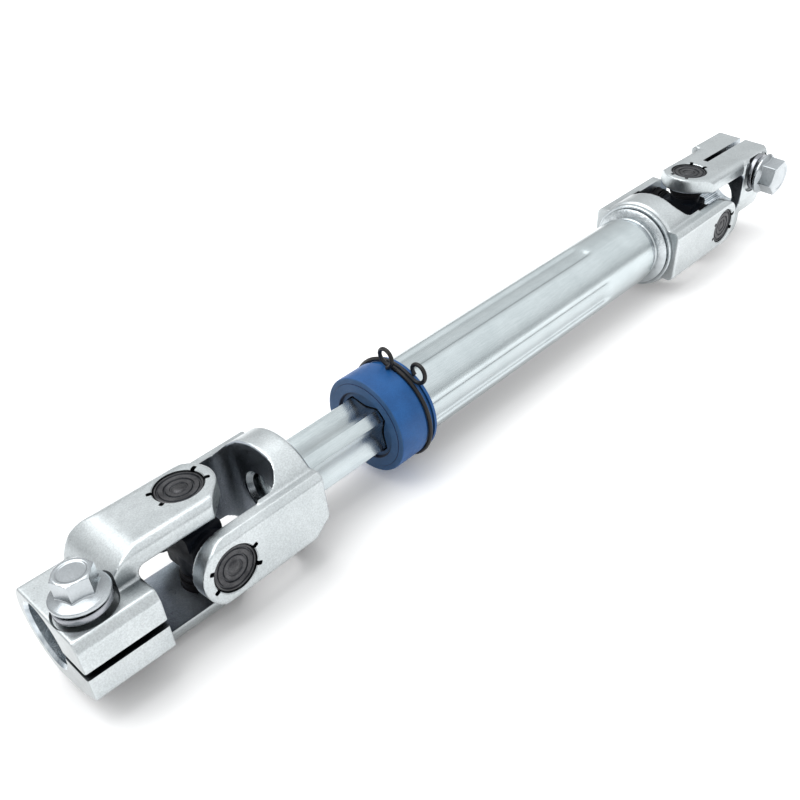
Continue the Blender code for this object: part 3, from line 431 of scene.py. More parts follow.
class Solid:
    """A closed body while it is being shaped, about its own joint's centre."""

    QUICK_GRID = 2.2

    def __init__(self, bm: bmesh.types.BMesh) -> None:
        """Takes over a bmesh, with its faces turned outwards."""
        bmesh.ops.recalc_face_normals(bm, faces=bm.faces)
        mesh = bpy.data.meshes.new("solid")
        bm.to_mesh(mesh)
        bm.free()
        self.thing = bpy.data.objects.new("solid", mesh)
        bpy.context.scene.collection.objects.link(self.thing)

    @classmethod
    def swept(cls, rings: Iterable[Ring], closed: bool = False) -> "Solid":
        """A body through loops of points with equal counts.

        Args:
            rings: the loops in order.
            closed: whether the last loop joins the first; if not, both ends are capped.

        Returns:
            The body.
        """
        bm = bmesh.new()
        loops = [[bm.verts.new(point) for point in ring] for ring in rings]
        pairs = list(zip(loops, loops[1:] + loops[:1])) if closed else list(zip(loops, loops[1:]))
        for first, second in pairs:
            count = len(first)
            for index in range(count):
                after = (index + 1) % count
                bm.faces.new((first[index], first[after], second[after], second[index]))
        if not closed:
            bm.faces.new(loops[0])
            bm.faces.new(loops[-1])
        return cls(bm)

    @classmethod
    def prism(cls, outline: Loop, axis: Axis, low: float, high: float) -> "Solid":
        """An outline extruded along an axis.

        Args:
            outline: (Y, Z), (X, Z) or (X, Y) points for the axes X, Y and Z.
            axis: the way it is extruded.
            low: one end.
            high: the other end.

        Returns:
            The body.
        """
        places = {
            Axis.X: lambda a, b, c: (c, a, b),
            Axis.Y: lambda a, b, c: (a, c, b),
            Axis.Z: lambda a, b, c: (a, b, c),
        }
        place = places[axis]
        return cls.swept([[place(a, b, level) for a, b in outline] for level in (low, high)])

    @classmethod
    def turned(cls, profile: Loop, axis: Axis, segments: int = ROUND) -> "Solid":
        """A body turned about an axis.

        Args:
            profile: a closed profile of (distance along the axis, radius) points.
            axis: the axis.
            segments: facets round it.

        Returns:
            The body.
        """
        bm = bmesh.new()
        rings = []
        turns = [2 * pi * step / segments for step in range(segments)]
        for along, radius in profile:
            if radius <= ON_AXIS:
                rings.append([bm.verts.new((along, 0, 0))])
                continue
            points = [(along, radius * cos(turn), radius * sin(turn)) for turn in turns]
            rings.append([bm.verts.new(point) for point in points])
        for first, second in zip(rings, rings[1:] + rings[:1]):
            if len(first) == 1 and len(second) == 1:
                continue
            for step in range(segments):
                after = (step + 1) % segments
                corners = [first[step % len(first)], first[after % len(first)]]
                corners += [second[after % len(second)], second[step % len(second)]]
                bm.faces.new(list(dict.fromkeys(corners)))
        turn_to = {
            Axis.X: Matrix(),
            Axis.Y: Matrix.Rotation(pi / 2, 4, "Z"),
            Axis.Z: Matrix.Rotation(-pi / 2, 4, "Y"),
        }
        bmesh.ops.transform(bm, matrix=turn_to[axis], verts=bm.verts)
        return cls(bm)

    def twin(self) -> "Solid":
        """A second body of the same shape.

        Returns:
            The copy.
        """
        other = Solid.__new__(Solid)
        other.thing = self.thing.copy()
        other.thing.data = self.thing.data.copy()
        bpy.context.scene.collection.objects.link(other.thing)
        return other

    def apply(self) -> "Solid":
        """Makes the result of the modifiers the body's own mesh.

        Returns:
            The body itself.
        """
        graph = bpy.context.evaluated_depsgraph_get()
        result = bpy.data.meshes.new_from_object(self.thing.evaluated_get(graph))
        self.thing.modifiers.clear()
        self.thing.data = result
        return self

    def _combine(self, tool: "Solid", operation: str) -> "Solid":
        """Joins, cuts or intersects this body with another.

        Args:
            tool: the other body, which is used up.
            operation: the Boolean's own word for it.

        Returns:
            The body itself.
        """
        modifier = self.thing.modifiers.new("boolean", "BOOLEAN")
        modifier.operation = operation
        modifier.solver = "EXACT"
        modifier.object = tool.thing
        self.apply()
        bpy.data.objects.remove(tool.thing)
        return self

    def join(self, tool: "Solid") -> "Solid":
        """Adds another body."""
        return self._combine(tool, "UNION")

    def cut(self, tool: "Solid") -> "Solid":
        """Takes another body away."""
        return self._combine(tool, "DIFFERENCE")

    def common(self, tool: "Solid") -> "Solid":
        """Keeps what both bodies hold."""
        return self._combine(tool, "INTERSECT")

    def move(self, matrix: Matrix) -> "Solid":
        """Moves the mesh, and turns its faces round if the matrix mirrors it.

        Args:
            matrix: the move.

        Returns:
            The body itself.
        """
        self.thing.data.transform(matrix)
        if matrix.determinant() < 0:
            self.thing.data.flip_normals()
        return self

    def soften(self, voxel: float, rounds: int) -> "Solid":
        """Rounds every edge, as a forging's are.

        Args:
            voxel: the grid that the body is remade on.
            rounds: how often it is smoothed.

        Returns:
            The body itself.
        """
        remesh = self.thing.modifiers.new("remesh", "REMESH")
        remesh.mode = "VOXEL"
        remesh.voxel_size = voxel * 1.0
        smooth = self.thing.modifiers.new("smooth", "SMOOTH")
        smooth.factor = 0.5
        smooth.iterations = rounds
        return self.apply()

    def done(self, name: str, place: Matrix, body: str, nodes: Sequence[str], finish: Material,
             sharp: float = 38.0, coats: Coats = ()) -> bpy.types.Object:
        """Sets the piece in its place and lets it stand for its CAD nodes.

        Args:
            name: the piece's name.
            place: the frame that it was shaped in.
            body: the CAD body that it rides on.
            nodes: the CAD nodes that it replaces.
            finish: its material.
            sharp: edges over this many degrees stay sharp.
            coats: other finishes, each with a test for the faces that take it.

        Returns:
            The piece.
        """
        piece = self.thing
        piece.name = name
        mesh = piece.data
        mesh.name = name
        mesh.materials.clear()
        mesh.materials.append(finish)
        for coat, _ in coats:
            mesh.materials.append(coat)
        for polygon in mesh.polygons:
            tests = enumerate((takes for _, takes in coats), 1)
            picked = (number for number, takes in tests if takes(polygon.center, polygon.normal))
            polygon.material_index = next(picked, 0)
        self.move(place)
        mesh.shade_smooth()
        mesh.set_sharp_from_angle(angle=radians(sharp))
        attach(piece, body)
        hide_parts(*nodes)
        log.info("%s: %d faces on %s", name, len(mesh.polygons), body)
        return piece


class Sweep:
    """A Geometry Nodes tree that runs a round wire along a path."""

    def __init__(self) -> None:
        """Builds the tree with its two named inputs."""
        tree = bpy.data.node_groups.new("wire_along_path", "GeometryNodeTree")
        face = tree.interface
        face.new_socket("Geometry", in_out="INPUT", socket_type="NodeSocketGeometry")
        radius = face.new_socket("Wire radius", in_out="INPUT", socket_type="NodeSocketFloat")
        sides = face.new_socket("Sides", in_out="INPUT", socket_type="NodeSocketInt")
        face.new_socket("Geometry", in_out="OUTPUT", socket_type="NodeSocketGeometry")
        self.radius, self.sides = radius.identifier, sides.identifier
        add, link = tree.nodes.new, tree.links.new
        start, end = add("NodeGroupInput"), add("NodeGroupOutput")
        circle, tube = add("GeometryNodeCurvePrimitiveCircle"), add("GeometryNodeCurveToMesh")
        curve = add("GeometryNodeMeshToCurve")
        solid = add("GeometryNodeRealizeInstances")
        paint = add("GeometryNodeSetMaterial")
        link(start.outputs["Geometry"], curve.inputs["Mesh"])
        link(start.outputs["Wire radius"], circle.inputs["Radius"])
        link(start.outputs["Sides"], circle.inputs["Resolution"])
        link(curve.outputs["Curve"], tube.inputs["Curve"])
        link(circle.outputs["Curve"], tube.inputs["Profile Curve"])
        tube.inputs["Fill Caps"].default_value = True
        link(tube.outputs["Mesh"], solid.inputs["Geometry"])
        link(solid.outputs["Geometry"], paint.inputs["Geometry"])
        link(paint.outputs["Geometry"], end.inputs["Geometry"])
        self.tree, self.paint = tree, paint

    def along(self, route: Sequence[Vector], radius: float, sides: int, finish: Material) -> Solid:
        """Runs the wire along a route.

        Args:
            route: the points of its centre line.
            radius: the wire's radius.
            sides: facets round the wire.
            finish: its material.

        Returns:
            The body.
        """
        mesh = bpy.data.meshes.new("route")
        mesh.from_pydata([tuple(point) for point in route], [(i, i + 1) for i in range(len(route) - 1)], [])
        body = Solid.__new__(Solid)
        body.thing = bpy.data.objects.new("route", mesh)
        bpy.context.scene.collection.objects.link(body.thing)
        self.paint.inputs["Material"].default_value = finish
        modifier = body.thing.modifiers.new("wire", "NODES")
        modifier.node_group = self.tree
        modifier[self.radius] = radius
        modifier[self.sides] = sides
        body.apply()
        bm = bmesh.new()
        bm.from_mesh(body.thing.data)
        bmesh.ops.remove_doubles(bm, verts=bm.verts, dist=SAME_POINT)
        bmesh.ops.recalc_face_normals(bm, faces=bm.faces)
        bm.to_mesh(body.thing.data)
        bm.free()
        return body


class RingOfCopies:
    """A Geometry Nodes tree that sets copies of a body round an axis, each turned outwards."""

    def __init__(self) -> None:
        """Builds the tree with its named inputs."""
        tree = bpy.data.node_groups.new("ring_of_copies", "GeometryNodeTree")
        face = tree.interface
        face.new_socket("Geometry", in_out="INPUT", socket_type="NodeSocketGeometry")
        count = face.new_socket("Count", in_out="INPUT", socket_type="NodeSocketInt")
        radius = face.new_socket("Radius", in_out="INPUT", socket_type="NodeSocketFloat")
        face.new_socket("Geometry", in_out="OUTPUT", socket_type="NodeSocketGeometry")
        self.count, self.radius = count.identifier, radius.identifier
        add, link = tree.nodes.new, tree.links.new
        start, end = add("NodeGroupInput"), add("NodeGroupOutput")
        circle, place = add("GeometryNodeMeshCircle"), add("GeometryNodeInstanceOnPoints")
        where, turn = add("GeometryNodeInputPosition"), add("FunctionNodeAlignRotationToVector")
        solid, paint = add("GeometryNodeRealizeInstances"), add("GeometryNodeSetMaterial")
        turn.axis = "X"
        turn.pivot_axis = "Z"
        link(start.outputs["Count"], circle.inputs["Vertices"])
        link(start.outputs["Radius"], circle.inputs["Radius"])
        link(where.outputs["Position"], turn.inputs["Vector"])
        link(circle.outputs["Mesh"], place.inputs["Points"])
        link(start.outputs["Geometry"], place.inputs["Instance"])
        link(turn.outputs["Rotation"], place.inputs["Rotation"])
        link(place.outputs["Instances"], solid.inputs["Geometry"])
        link(solid.outputs["Geometry"], paint.inputs["Geometry"])
        link(paint.outputs["Geometry"], end.inputs["Geometry"])
        self.tree, self.paint = tree, paint

    def of(self, body: Solid, count: int, radius: float, finish: Material) -> Solid:
        """Repeats a body round Z.

        Args:
            body: the body, shaped about the ring's own radius on +X.
            count: how many copies.
            radius: the ring's radius.
            finish: its material.

        Returns:
            All the copies as one body.
        """
        self.paint.inputs["Material"].default_value = finish
        modifier = body.thing.modifiers.new("ring", "NODES")
        modifier.node_group = self.tree
        modifier[self.count] = count
        modifier[self.radius] = radius
        return body.apply()


@dataclass
class Ear:
    """The bores for the bearing cups, with the punched stakes round them."""

    stake_length: float = 0.0017
    stake_width: float = 0.0015
    stake_depth: float = 0.0018
    stake_angle: float = radians(24)
    stake_corner: float = 0.0005
    bore_chamfer: float = 0.0003
    bore_start: float = 0.0040

    def cutter(self, axis: Axis) -> Solid:
        """Both bores on one axis and all their stakes as one cutting body.

        Args:
            axis: the axis that the ears stand on.

        Returns:
            The cutter.
        """
        radius = CUP_RADIUS + FIT
        rim = radius + self.bore_chamfer
        face = EAR_FACE
        reach = face + PASS
        start = self.bore_start
        half = [(start, 0), (start, radius), (face - self.bore_chamfer, radius), (face, rim)]
        half += [(reach, rim), (reach, 0)]
        tool = Solid.turned(half, Axis.Z)
        for angle in (self.stake_angle, pi - self.stake_angle, pi + self.stake_angle, -self.stake_angle):
            tool.join(self._stake(angle))
        tool.join(tool.twin().move(Matrix.Diagonal((1, 1, -1, 1))))
        if axis is Axis.Y:
            tool.move(Matrix.Rotation(-pi / 2, 4, "X"))
        return tool

    def _stake(self, angle: float) -> Solid:
        """One notch at the rim of the upper bore.

        Args:
            angle: its turn from +X.

        Returns:
            The cutter.
        """
        inner = CUP_RADIUS - PASS / 2
        outer = CUP_RADIUS + FIT + self.stake_length
        half = self.stake_width / 2
        outline = filleted([(inner, -half), (outer, -half), (outer, half), (inner, half)], self.stake_corner)
        notch = Solid.prism(outline, Axis.Z, EAR_FACE - self.stake_depth, EAR_FACE + PASS)
        return notch.move(Matrix.Rotation(angle, 4, "Z"))


@dataclass
class SplinedBore:
    """The toothed bore of a clamp, with its chamfered mouths."""

    teeth: int = 32
    depth: float = 0.0007
    chamfer: float = 0.0010
    lead: float = 0.0040
    tooth: tuple[Flat, ...] = ((0.04, 0.0), (0.34, 1.0), (0.66, 1.0), (0.96, 0.0))
    inner_end: float = 0.0220
    margin: float = 0.0012
    across: float = 0.95

    def takes(self, centre: Vector, normal: Vector) -> bool:
        """Tells the bore's own faces.

        Args:
            centre: the face's middle.
            normal: its normal.

        Returns:
            Whether it is one of them.
        """
        inside = sqrt(centre.y**2 + centre.z**2) < SPLINE_MINOR_RADIUS + self.depth + self.margin
        return inside and abs(centre.x) > self.inner_end and abs(normal.x) < self.across

    def cutter(self, low: float, high: float) -> Solid:
        """The bore as a cutting body along X.

        Args:
            low: one end of the clamp.
            high: the other end.

        Returns:
            The cutter.
        """
        outline = []
        pitch = 2 * pi / self.teeth
        for tooth in range(self.teeth):
            for share, depth in self.tooth:
                radius = SPLINE_MINOR_RADIUS + self.depth * depth
                turn = (tooth + share) * pitch
                outline.append((radius * cos(turn), radius * sin(turn)))
        tool = Solid.prism(outline, Axis.X, low - PASS, high + PASS)
        plain = SPLINE_MINOR_RADIUS + self.depth + FIT
        wide = plain + self.chamfer
        narrow = SPLINE_MINOR_RADIUS - PASS
        for face, way in ((low, 1), (high, -1)):
            outside = face - way * PASS * 2
            edge = face + way * self.chamfer
            inside = face + way * self.lead
            tip = inside + way * (plain - narrow)
            mouth = [(outside, 0), (outside, wide), (face, wide), (edge, plain)]
            mouth += [(inside, plain), (tip, narrow), (tip, 0)]
            tool.join(Solid.turned(mouth, Axis.X))
        return tool


@dataclass
class ClampYoke:
    """What both clamp yokes have: two arms, a block with a splined bore, and a seat for the pinch bolt."""

    start: float
    end: float
    shoulder: float
    shoulder_radius: float
    flat_side: float = 0.0141
    round_side: float = 0.0124
    arm_thickness: float = 0.0063
    edge_round: float = 0.00515
    edge_corner: float = 0.00315
    nose_cut: float = 0.0018
    throat_corner: float = 0.0025
    slit: float = 0.0025
    flange_radius: float = 0.0086
    seat_corner: float = 0.0006
    nose_turn: float = radians(44)
    well_past: float = 0.0300
    end_margin: float = 0.0006
    end_facing: float = 0.8
    inner_margin: float = 0.0003
    inner_facing: float = 0.7
    voxel: float = 0.00042
    rounds: int = 5
    ear: Ear = field(default_factory=Ear)
    bore: SplinedBore = field(default_factory=SplinedBore)

    def arms(self) -> Solid:
        """The two arms, still joined: each is the other turned half round about the shaft's axis."""
        return self._arm().join(self._arm().move(Matrix.Rotation(pi, 4, "X")))

    def _arm(self) -> Solid:
        """The arm above the shaft's axis, with a nose round the cup and a round shoulder at the back.

        Returns:
            The arm, still solid below.
        """
        nose = EAR_NOSE_RADIUS
        back = self.shoulder + self.shoulder_radius
        side = [(nose + PASS, EAR_FACE)]
        side += arc((-self.shoulder, EAR_FACE - self.shoulder_radius), self.shoulder_radius, pi / 2, pi, 20)
        side += [(-back, -PASS), (nose + PASS, -PASS)]
        body = Solid.prism(side, Axis.Y, -self.flat_side, self.round_side)
        flat, rounded = self.flat_side + PASS, self.round_side + PASS
        plan = [(-back - PASS, -flat), (self.nose_cut - PASS, -flat)]
        plan += arc((0, 0), nose, -self.nose_turn, self.nose_turn, 24)
        plan += [(self.nose_cut, rounded), (-back - PASS, rounded)]
        body.common(Solid.prism(plan, Axis.Z, -EAR_FACE - PASS, EAR_FACE + PASS))
        return body.common(Solid.prism(self._section(), Axis.X, -back - PASS, nose + PASS))

    def _section(self) -> Loop:
        """The upper arm's outline across the shaft.

        Returns:
            The outline, with a wide round along one edge and a tighter one opposite.
        """
        wide = (self.round_side - self.edge_round, EAR_FACE - self.edge_round)
        tight = (-self.flat_side + self.edge_corner, EAR_FACE - self.edge_corner)
        outline = arc(wide, self.edge_round, 0, pi / 2, 16)
        outline += arc(tight, self.edge_corner, pi / 2, pi, 10)
        return outline + [(-self.flat_side, -2 * PASS), (self.round_side, -2 * PASS)]

    def throat(self) -> Solid:
        """The space between the arms, with round corners at its floor.

        Returns:
            The cutter.
        """
        corner = self.throat_corner
        inner = EAR_FACE - self.arm_thickness
        upper = [(EAR_NOSE_RADIUS + PASS, inner)]
        upper += arc((-self.start + corner, inner - corner), corner, pi / 2, pi, 16)
        outline = upper + [(x, -z) for x, z in reversed(upper)]
        return Solid.prism(outline, Axis.Y, -self.well_past, self.well_past)

    def ends(self, centre: Vector, normal: Vector) -> bool:
        """Whether a face is on the clamp's end face."""
        return abs(centre.x) > self.end - self.end_margin and abs(normal.x) > self.end_facing

    def between(self, centre: Vector, normal: Vector) -> bool:
        """Tells the faces that line the space between the arms, which take the darker finish of painted
        shade.

        Args:
            centre: the face's middle.
            normal: its normal.

        Returns:
            Whether it is one of them.
        """
        along = abs(centre.x) < self.start + self.inner_margin
        inside = abs(centre.z) < EAR_FACE - self.arm_thickness + self.inner_margin
        return along and inside and abs(normal.y) < self.inner_facing

    def seat(self, axis: Axis, seat: float, place: Vector, outwards: int) -> Solid:
        """The bolt's hole and the sunk seat under its head.

        Args:
            axis: the bolt's axis.
            seat: the seat's distance along the axis.
            place: where the bolt stands.
            outwards: 1 or -1, the way that the head faces.

        Returns:
            The cutter.
        """
        far = outwards * self.end
        radius = self.flange_radius + 3 * FIT
        shank = BOLT_RADIUS + FIT
        level = outwards * seat
        corner = self.seat_corner
        profile = [(-far, 0), (-far, shank), (level, shank), (level, radius - corner)]
        profile += [(level + outwards * corner, radius), (far, radius), (far, 0)]
        return Solid.turned(profile, axis).move(Matrix.Translation(place))


@dataclass
class NearClampYoke(ClampYoke):
    """The clamp yoke that is split on its -Y side and pinched by an upright bolt."""

    start: float = 0.0241
    end: float = 0.0495
    shoulder: float = 0.0205
    shoulder_radius: float = 0.0140
    boss: float = 0.0152
    flat: float = 0.0115
    side: float = 0.0233
    side_drop: float = 0.0089
    side_chamfer: float = 0.0033
    underside: Flat = (0.0148, 0.0128)
    boss_turn: float = radians(-105)
    bolt_place: float = 0.0400
    seat_depth: float = 0.0008

    def build(self, finish: Material, bored: Material, sawn: Material, shade: Material) -> bpy.types.Object:
        """Forges and machines the yoke.

        Args:
            finish: its material.
            bored: the bore's material.
            sawn: the end face's material.
            shade: the material between the arms.

        Returns:
            The piece.
        """
        body = self.arms()
        last = atan2(self.flat, sqrt(self.boss**2 - self.flat**2))
        section = arc((0, 0), self.boss, self.boss_turn, last, 40)
        section += [(-self.side + self.side_chamfer / 2, self.flat)]
        section += [(-self.side, self.flat - self.side_chamfer)]
        section += [(-self.side, -self.side_drop), (-self.underside[0], -self.underside[1])]
        body.join(Solid.prism(section, Axis.X, -self.end, -self.start))
        body.cut(self.throat()).soften(self.voxel, self.rounds)
        tool = self.seat(Axis.Z, self.flat - self.seat_depth, Vector((-self.bolt_place, -BOLT_OFFSET, 0)), 1)
        tool.join(self.bore.cutter(-self.end, -self.start))
        half = self.slit / 2
        slit = [(-self.side - PASS, -half), (0, -half), (0, half), (-self.side - PASS, half)]
        tool.join(Solid.prism(slit, Axis.X, -self.end - PASS, -self.start + PASS))
        body.cut(tool).cut(self.ear.cutter(Axis.Z))
        coats = [(bored, self.bore.takes), (sawn, self.ends), (shade, self.between)]
        return body.done("near_clamp", NEAR_CLAMP, "near_clamp", ["near_clamp_yoke"], finish, coats=coats)


@dataclass
class FarClampYoke(ClampYoke):
    """The clamp yoke that is split along its top and pinched by a level bolt."""

    start: float = 0.0255
    end: float = 0.0485
    shoulder: float = 0.0240
    shoulder_radius: float = 0.0090
    boss: float = 0.0145
    head_side: float = 0.0149
    nut_side: float = 0.01405
    top_chamfer: float = 0.0016
    end_cut: float = 0.0040
    bolt_place: float = 0.0358
    bolt_rise: float = 0.0011
    flange_radius: float = 0.0092
    seat_depth: float = 0.0013
    slit_start: float = 0.0138
    slit_light: float = 0.0350
    slit_facing: float = 0.9

    def takes(self, centre: Vector, normal: Vector) -> bool:
        """Tells the bore's own faces and those of the slit's outer part, where the paler machined finish is
        painted light for the light that reaches into the slit.

        Args:
            centre: the face's middle.
            normal: its normal.

        Returns:
            Whether it is one of them.
        """
        reached = abs(centre.y) < self.slit and centre.x > self.slit_light
        return self.bore.takes(centre, normal) or reached and abs(normal.y) > self.slit_facing

    def build(self, finish: Material, bored: Material, sawn: Material, shade: Material) -> bpy.types.Object:
        """Forges and machines the yoke.

        Args:
            finish: its material.
            bored: the bore's material.
            sawn: the end face's material.
            shade: the material between the arms.

        Returns:
            The piece.
        """
        body = self.arms()
        low = sqrt(self.boss**2 - self.nut_side**2)
        section = arc((0, 0), self.boss, pi, 2 * pi - atan2(low, self.nut_side), 40)
        chamfer = self.top_chamfer
        section += [(self.nut_side, EAR_FACE - chamfer), (self.nut_side - chamfer, EAR_FACE)]
        section += [(-self.head_side + chamfer, EAR_FACE), (-self.head_side, EAR_FACE - chamfer)]
        section += [(-self.head_side, 0)]
        body.join(Solid.prism(section, Axis.X, -self.end, -self.start))
        reach, side = -self.end - PASS, -self.head_side - PASS
        along = (-self.end + self.end_cut + PASS, side)
        corner = [(reach, side), along, (reach, side + self.end_cut + 2 * PASS)]
        body.cut(Solid.prism(corner, Axis.Z, -EAR_FACE - PASS, EAR_FACE + PASS))
        body.cut(self.throat()).soften(self.voxel, self.rounds)
        place = Vector((-self.bolt_place, 0, BOLT_OFFSET + self.bolt_rise))
        tool = self.seat(Axis.Y, self.head_side - self.seat_depth, place, -1)
        tool.join(self.bore.cutter(-self.end, -self.start))
        half = self.slit / 2
        slit = [(-half, 0), (half, 0), (half, EAR_FACE + PASS), (-half, EAR_FACE + PASS)]
        levels = (-self.end - PASS, -self.slit_light, -self.slit_start)
        tool.join(Solid.swept([[(level, y, z) for y, z in slit] for level in levels]))
        body.cut(tool).cut(self.ear.cutter(Axis.Z)).move(Matrix.Diagonal((-1, 1, 1, 1)))
        coats = [(bored, self.takes), (sawn, self.ends), (shade, self.between)]
        return body.done("far_clamp", FAR_CLAMP, "far_clamp", ["far_clamp_yoke"], finish, coats=coats)


@dataclass
class ShaftSideYoke:
    """A yoke whose two ears stand on the Y axis, with a round hub that runs to +X."""

    length: float
    floor: float
    corner: float
    corner_run: float = 4 / 3
    throat_corner: float = 0.0080
    back_chamfer: float = 0.0006
    high: float = 0.0114
    thickness: float = 0.0058
    chamfer: float = 0.0019
    inner_margin: float = 0.0003
    inner_facing: float = 0.6
    floor_margin: float = 0.0006
    free_of_bore: float = 0.0040
    voxel: float = 0.00042
    rounds: int = 4
    ear: Ear = field(default_factory=Ear)

    def blank(self) -> Solid:
        """The forged body before its bores are cut.

        Returns:
            The body.
        """
        high = self.high
        rear = [(self.length - self.corner * self.corner_run, -high)]
        rear += [(self.length, -high + self.corner), (self.length, high)]
        side = list(dict.fromkeys(rear)) + arc((0, 0), high, pi / 2, 3 * pi / 2, 40)
        body = Solid.prism(side, Axis.Y, -EAR_FACE, EAR_FACE)
        section = []
        for y, z in ((1, 1), (-1, 1), (-1, -1), (1, -1)):
            edge = [(y * EAR_FACE, z * (high - self.chamfer)), (y * (EAR_FACE - self.chamfer), z * high)]
            section += edge if y * z > 0 else edge[::-1]
        body.common(Solid.prism(section, Axis.X, -high - PASS, self.length + PASS))
        side, cut = EAR_FACE + PASS, self.back_chamfer + PASS
        plan = [(-high - PASS, -side), (self.length - cut, -side), (self.length + PASS, -side + cut + PASS)]
        plan += [(x, -y) for x, y in reversed(plan)]
        body.common(Solid.prism(plan, Axis.Z, -high - PASS, high + PASS))
        inner = EAR_FACE - self.thickness
        hub = [(inner, 0), (inner, HUB_RADIUS), (self.length - PASS, HUB_RADIUS)]
        hub += [(self.length, HUB_RADIUS - PASS), (self.length, 0)]
        body.join(Solid.turned(hub, Axis.X))
        return body.cut(self._throat(inner, self.floor)).soften(self.voxel, self.rounds)

    def between(self, centre: Vector, normal: Vector) -> bool:
        """Tells the faces that line the space between the ears, which take the darker finish of painted
        shade.

        Args:
            centre: the face's middle.
            normal: its normal.

        Returns:
            Whether it is one of them.
        """
        along = self.free_of_bore < abs(centre.x) < self.floor + self.floor_margin
        inside = abs(centre.y) < EAR_FACE - self.thickness + self.inner_margin
        return along and inside and abs(normal.z) < self.inner_facing

    def _throat(self, inner: float, floor: float) -> Solid:
        """The U-shaped space between the ears.

        Args:
            inner: how far from the axis the ears' inner faces are.
            floor: how far from the cross's centre the space reaches.

        Returns:
            The cutter.
        """
        corner = self.throat_corner
        plan = [(-self.high - PASS, -inner)] + arc((floor - corner, corner - inner), corner, -pi / 2, 0, 20)
        plan += arc((floor - corner, inner - corner), corner, 0, pi / 2, 20) + [(-self.high - PASS, inner)]
        return Solid.prism(plan, Axis.Z, -HUB_RADIUS - PASS, HUB_RADIUS + PASS)


@dataclass
class ShaftYoke(ShaftSideYoke):
    """The yoke on the sliding shaft."""

    length: float = SHAFT_YOKE_LENGTH
    floor: float = SHAFT_YOKE_THROAT
    corner: float = 0.0066
    hub_bore: float = 0.0068
    mouth: float = 0.0016
    mouth_level: float = 0.0004
    mouth_facing: Flat = (0.3, 0.9)

    def takes(self, centre: Vector, normal: Vector) -> bool:
        """Tells the faces of the chamfer of the hub's bore, which take the pale machined finish as a painted
        highlight.

        Args:
            centre: the face's middle.
            normal: its normal.

        Returns:
            Whether it is one of them.
        """
        low, high = self.mouth_facing
        within = sqrt(centre.y**2 + centre.z**2) < self.hub_bore + self.mouth
        return within and centre.x > self.floor - PASS and low < abs(normal.x) < high

    def build(self, finish: Material, bored: Material, shade: Material) -> bpy.types.Object:
        """Forges and bores the yoke.

        Args:
            finish: its material.
            bored: the bore's material.
            shade: the material between the ears.

        Returns:
            The piece.
        """
        body = self.blank()
        end = self.length + PASS
        level = self.floor + self.mouth_level
        hole = [(0, 0), (0, self.hub_bore + self.mouth), (level, self.hub_bore + self.mouth)]
        hole += [(level + self.mouth, self.hub_bore), (end, self.hub_bore), (end, 0)]
        body.cut(Solid.turned(hole, Axis.X)).cut(self.ear.cutter(Axis.Y))
        coats = [(bored, self.takes), (shade, self.between)]
        return body.done("shaft_fork", NEAR_JOINT, "shaft", ["shaft_yoke"], finish, coats=coats)


@dataclass
class TubeYoke(ShaftSideYoke):
    """The yoke on the tube, with a stub inside the tube."""

    length: float = TUBE_YOKE_LENGTH
    floor: float = 0.0285
    corner: float = 0.0
    stub_inside: float = 0.0120

    def build(self, finish: Material, shade: Material) -> bpy.types.Object:
        """Forges and bores the yoke.

        Args:
            finish: its material.
            shade: the material between the ears.

        Returns:
            The piece.
        """
        body = self.blank()
        radius = TUBE_BORE_RADIUS - FIT
        tip = JOINT_SPAN - TUBE_END + self.stub_inside
        stub = [(self.length - PASS, 0), (self.length - PASS, radius), (tip - PASS, radius)]
        stub += [(tip, radius - PASS), (tip, 0)]
        body.join(Solid.turned(stub, Axis.X)).cut(self.ear.cutter(Axis.Y))
        body.move(Matrix.Diagonal((-1, 1, 1, 1)))
        return body.done("tube_fork", FAR_JOINT, "tube", ["tube_yoke"], finish, coats=[(shade, self.between)])


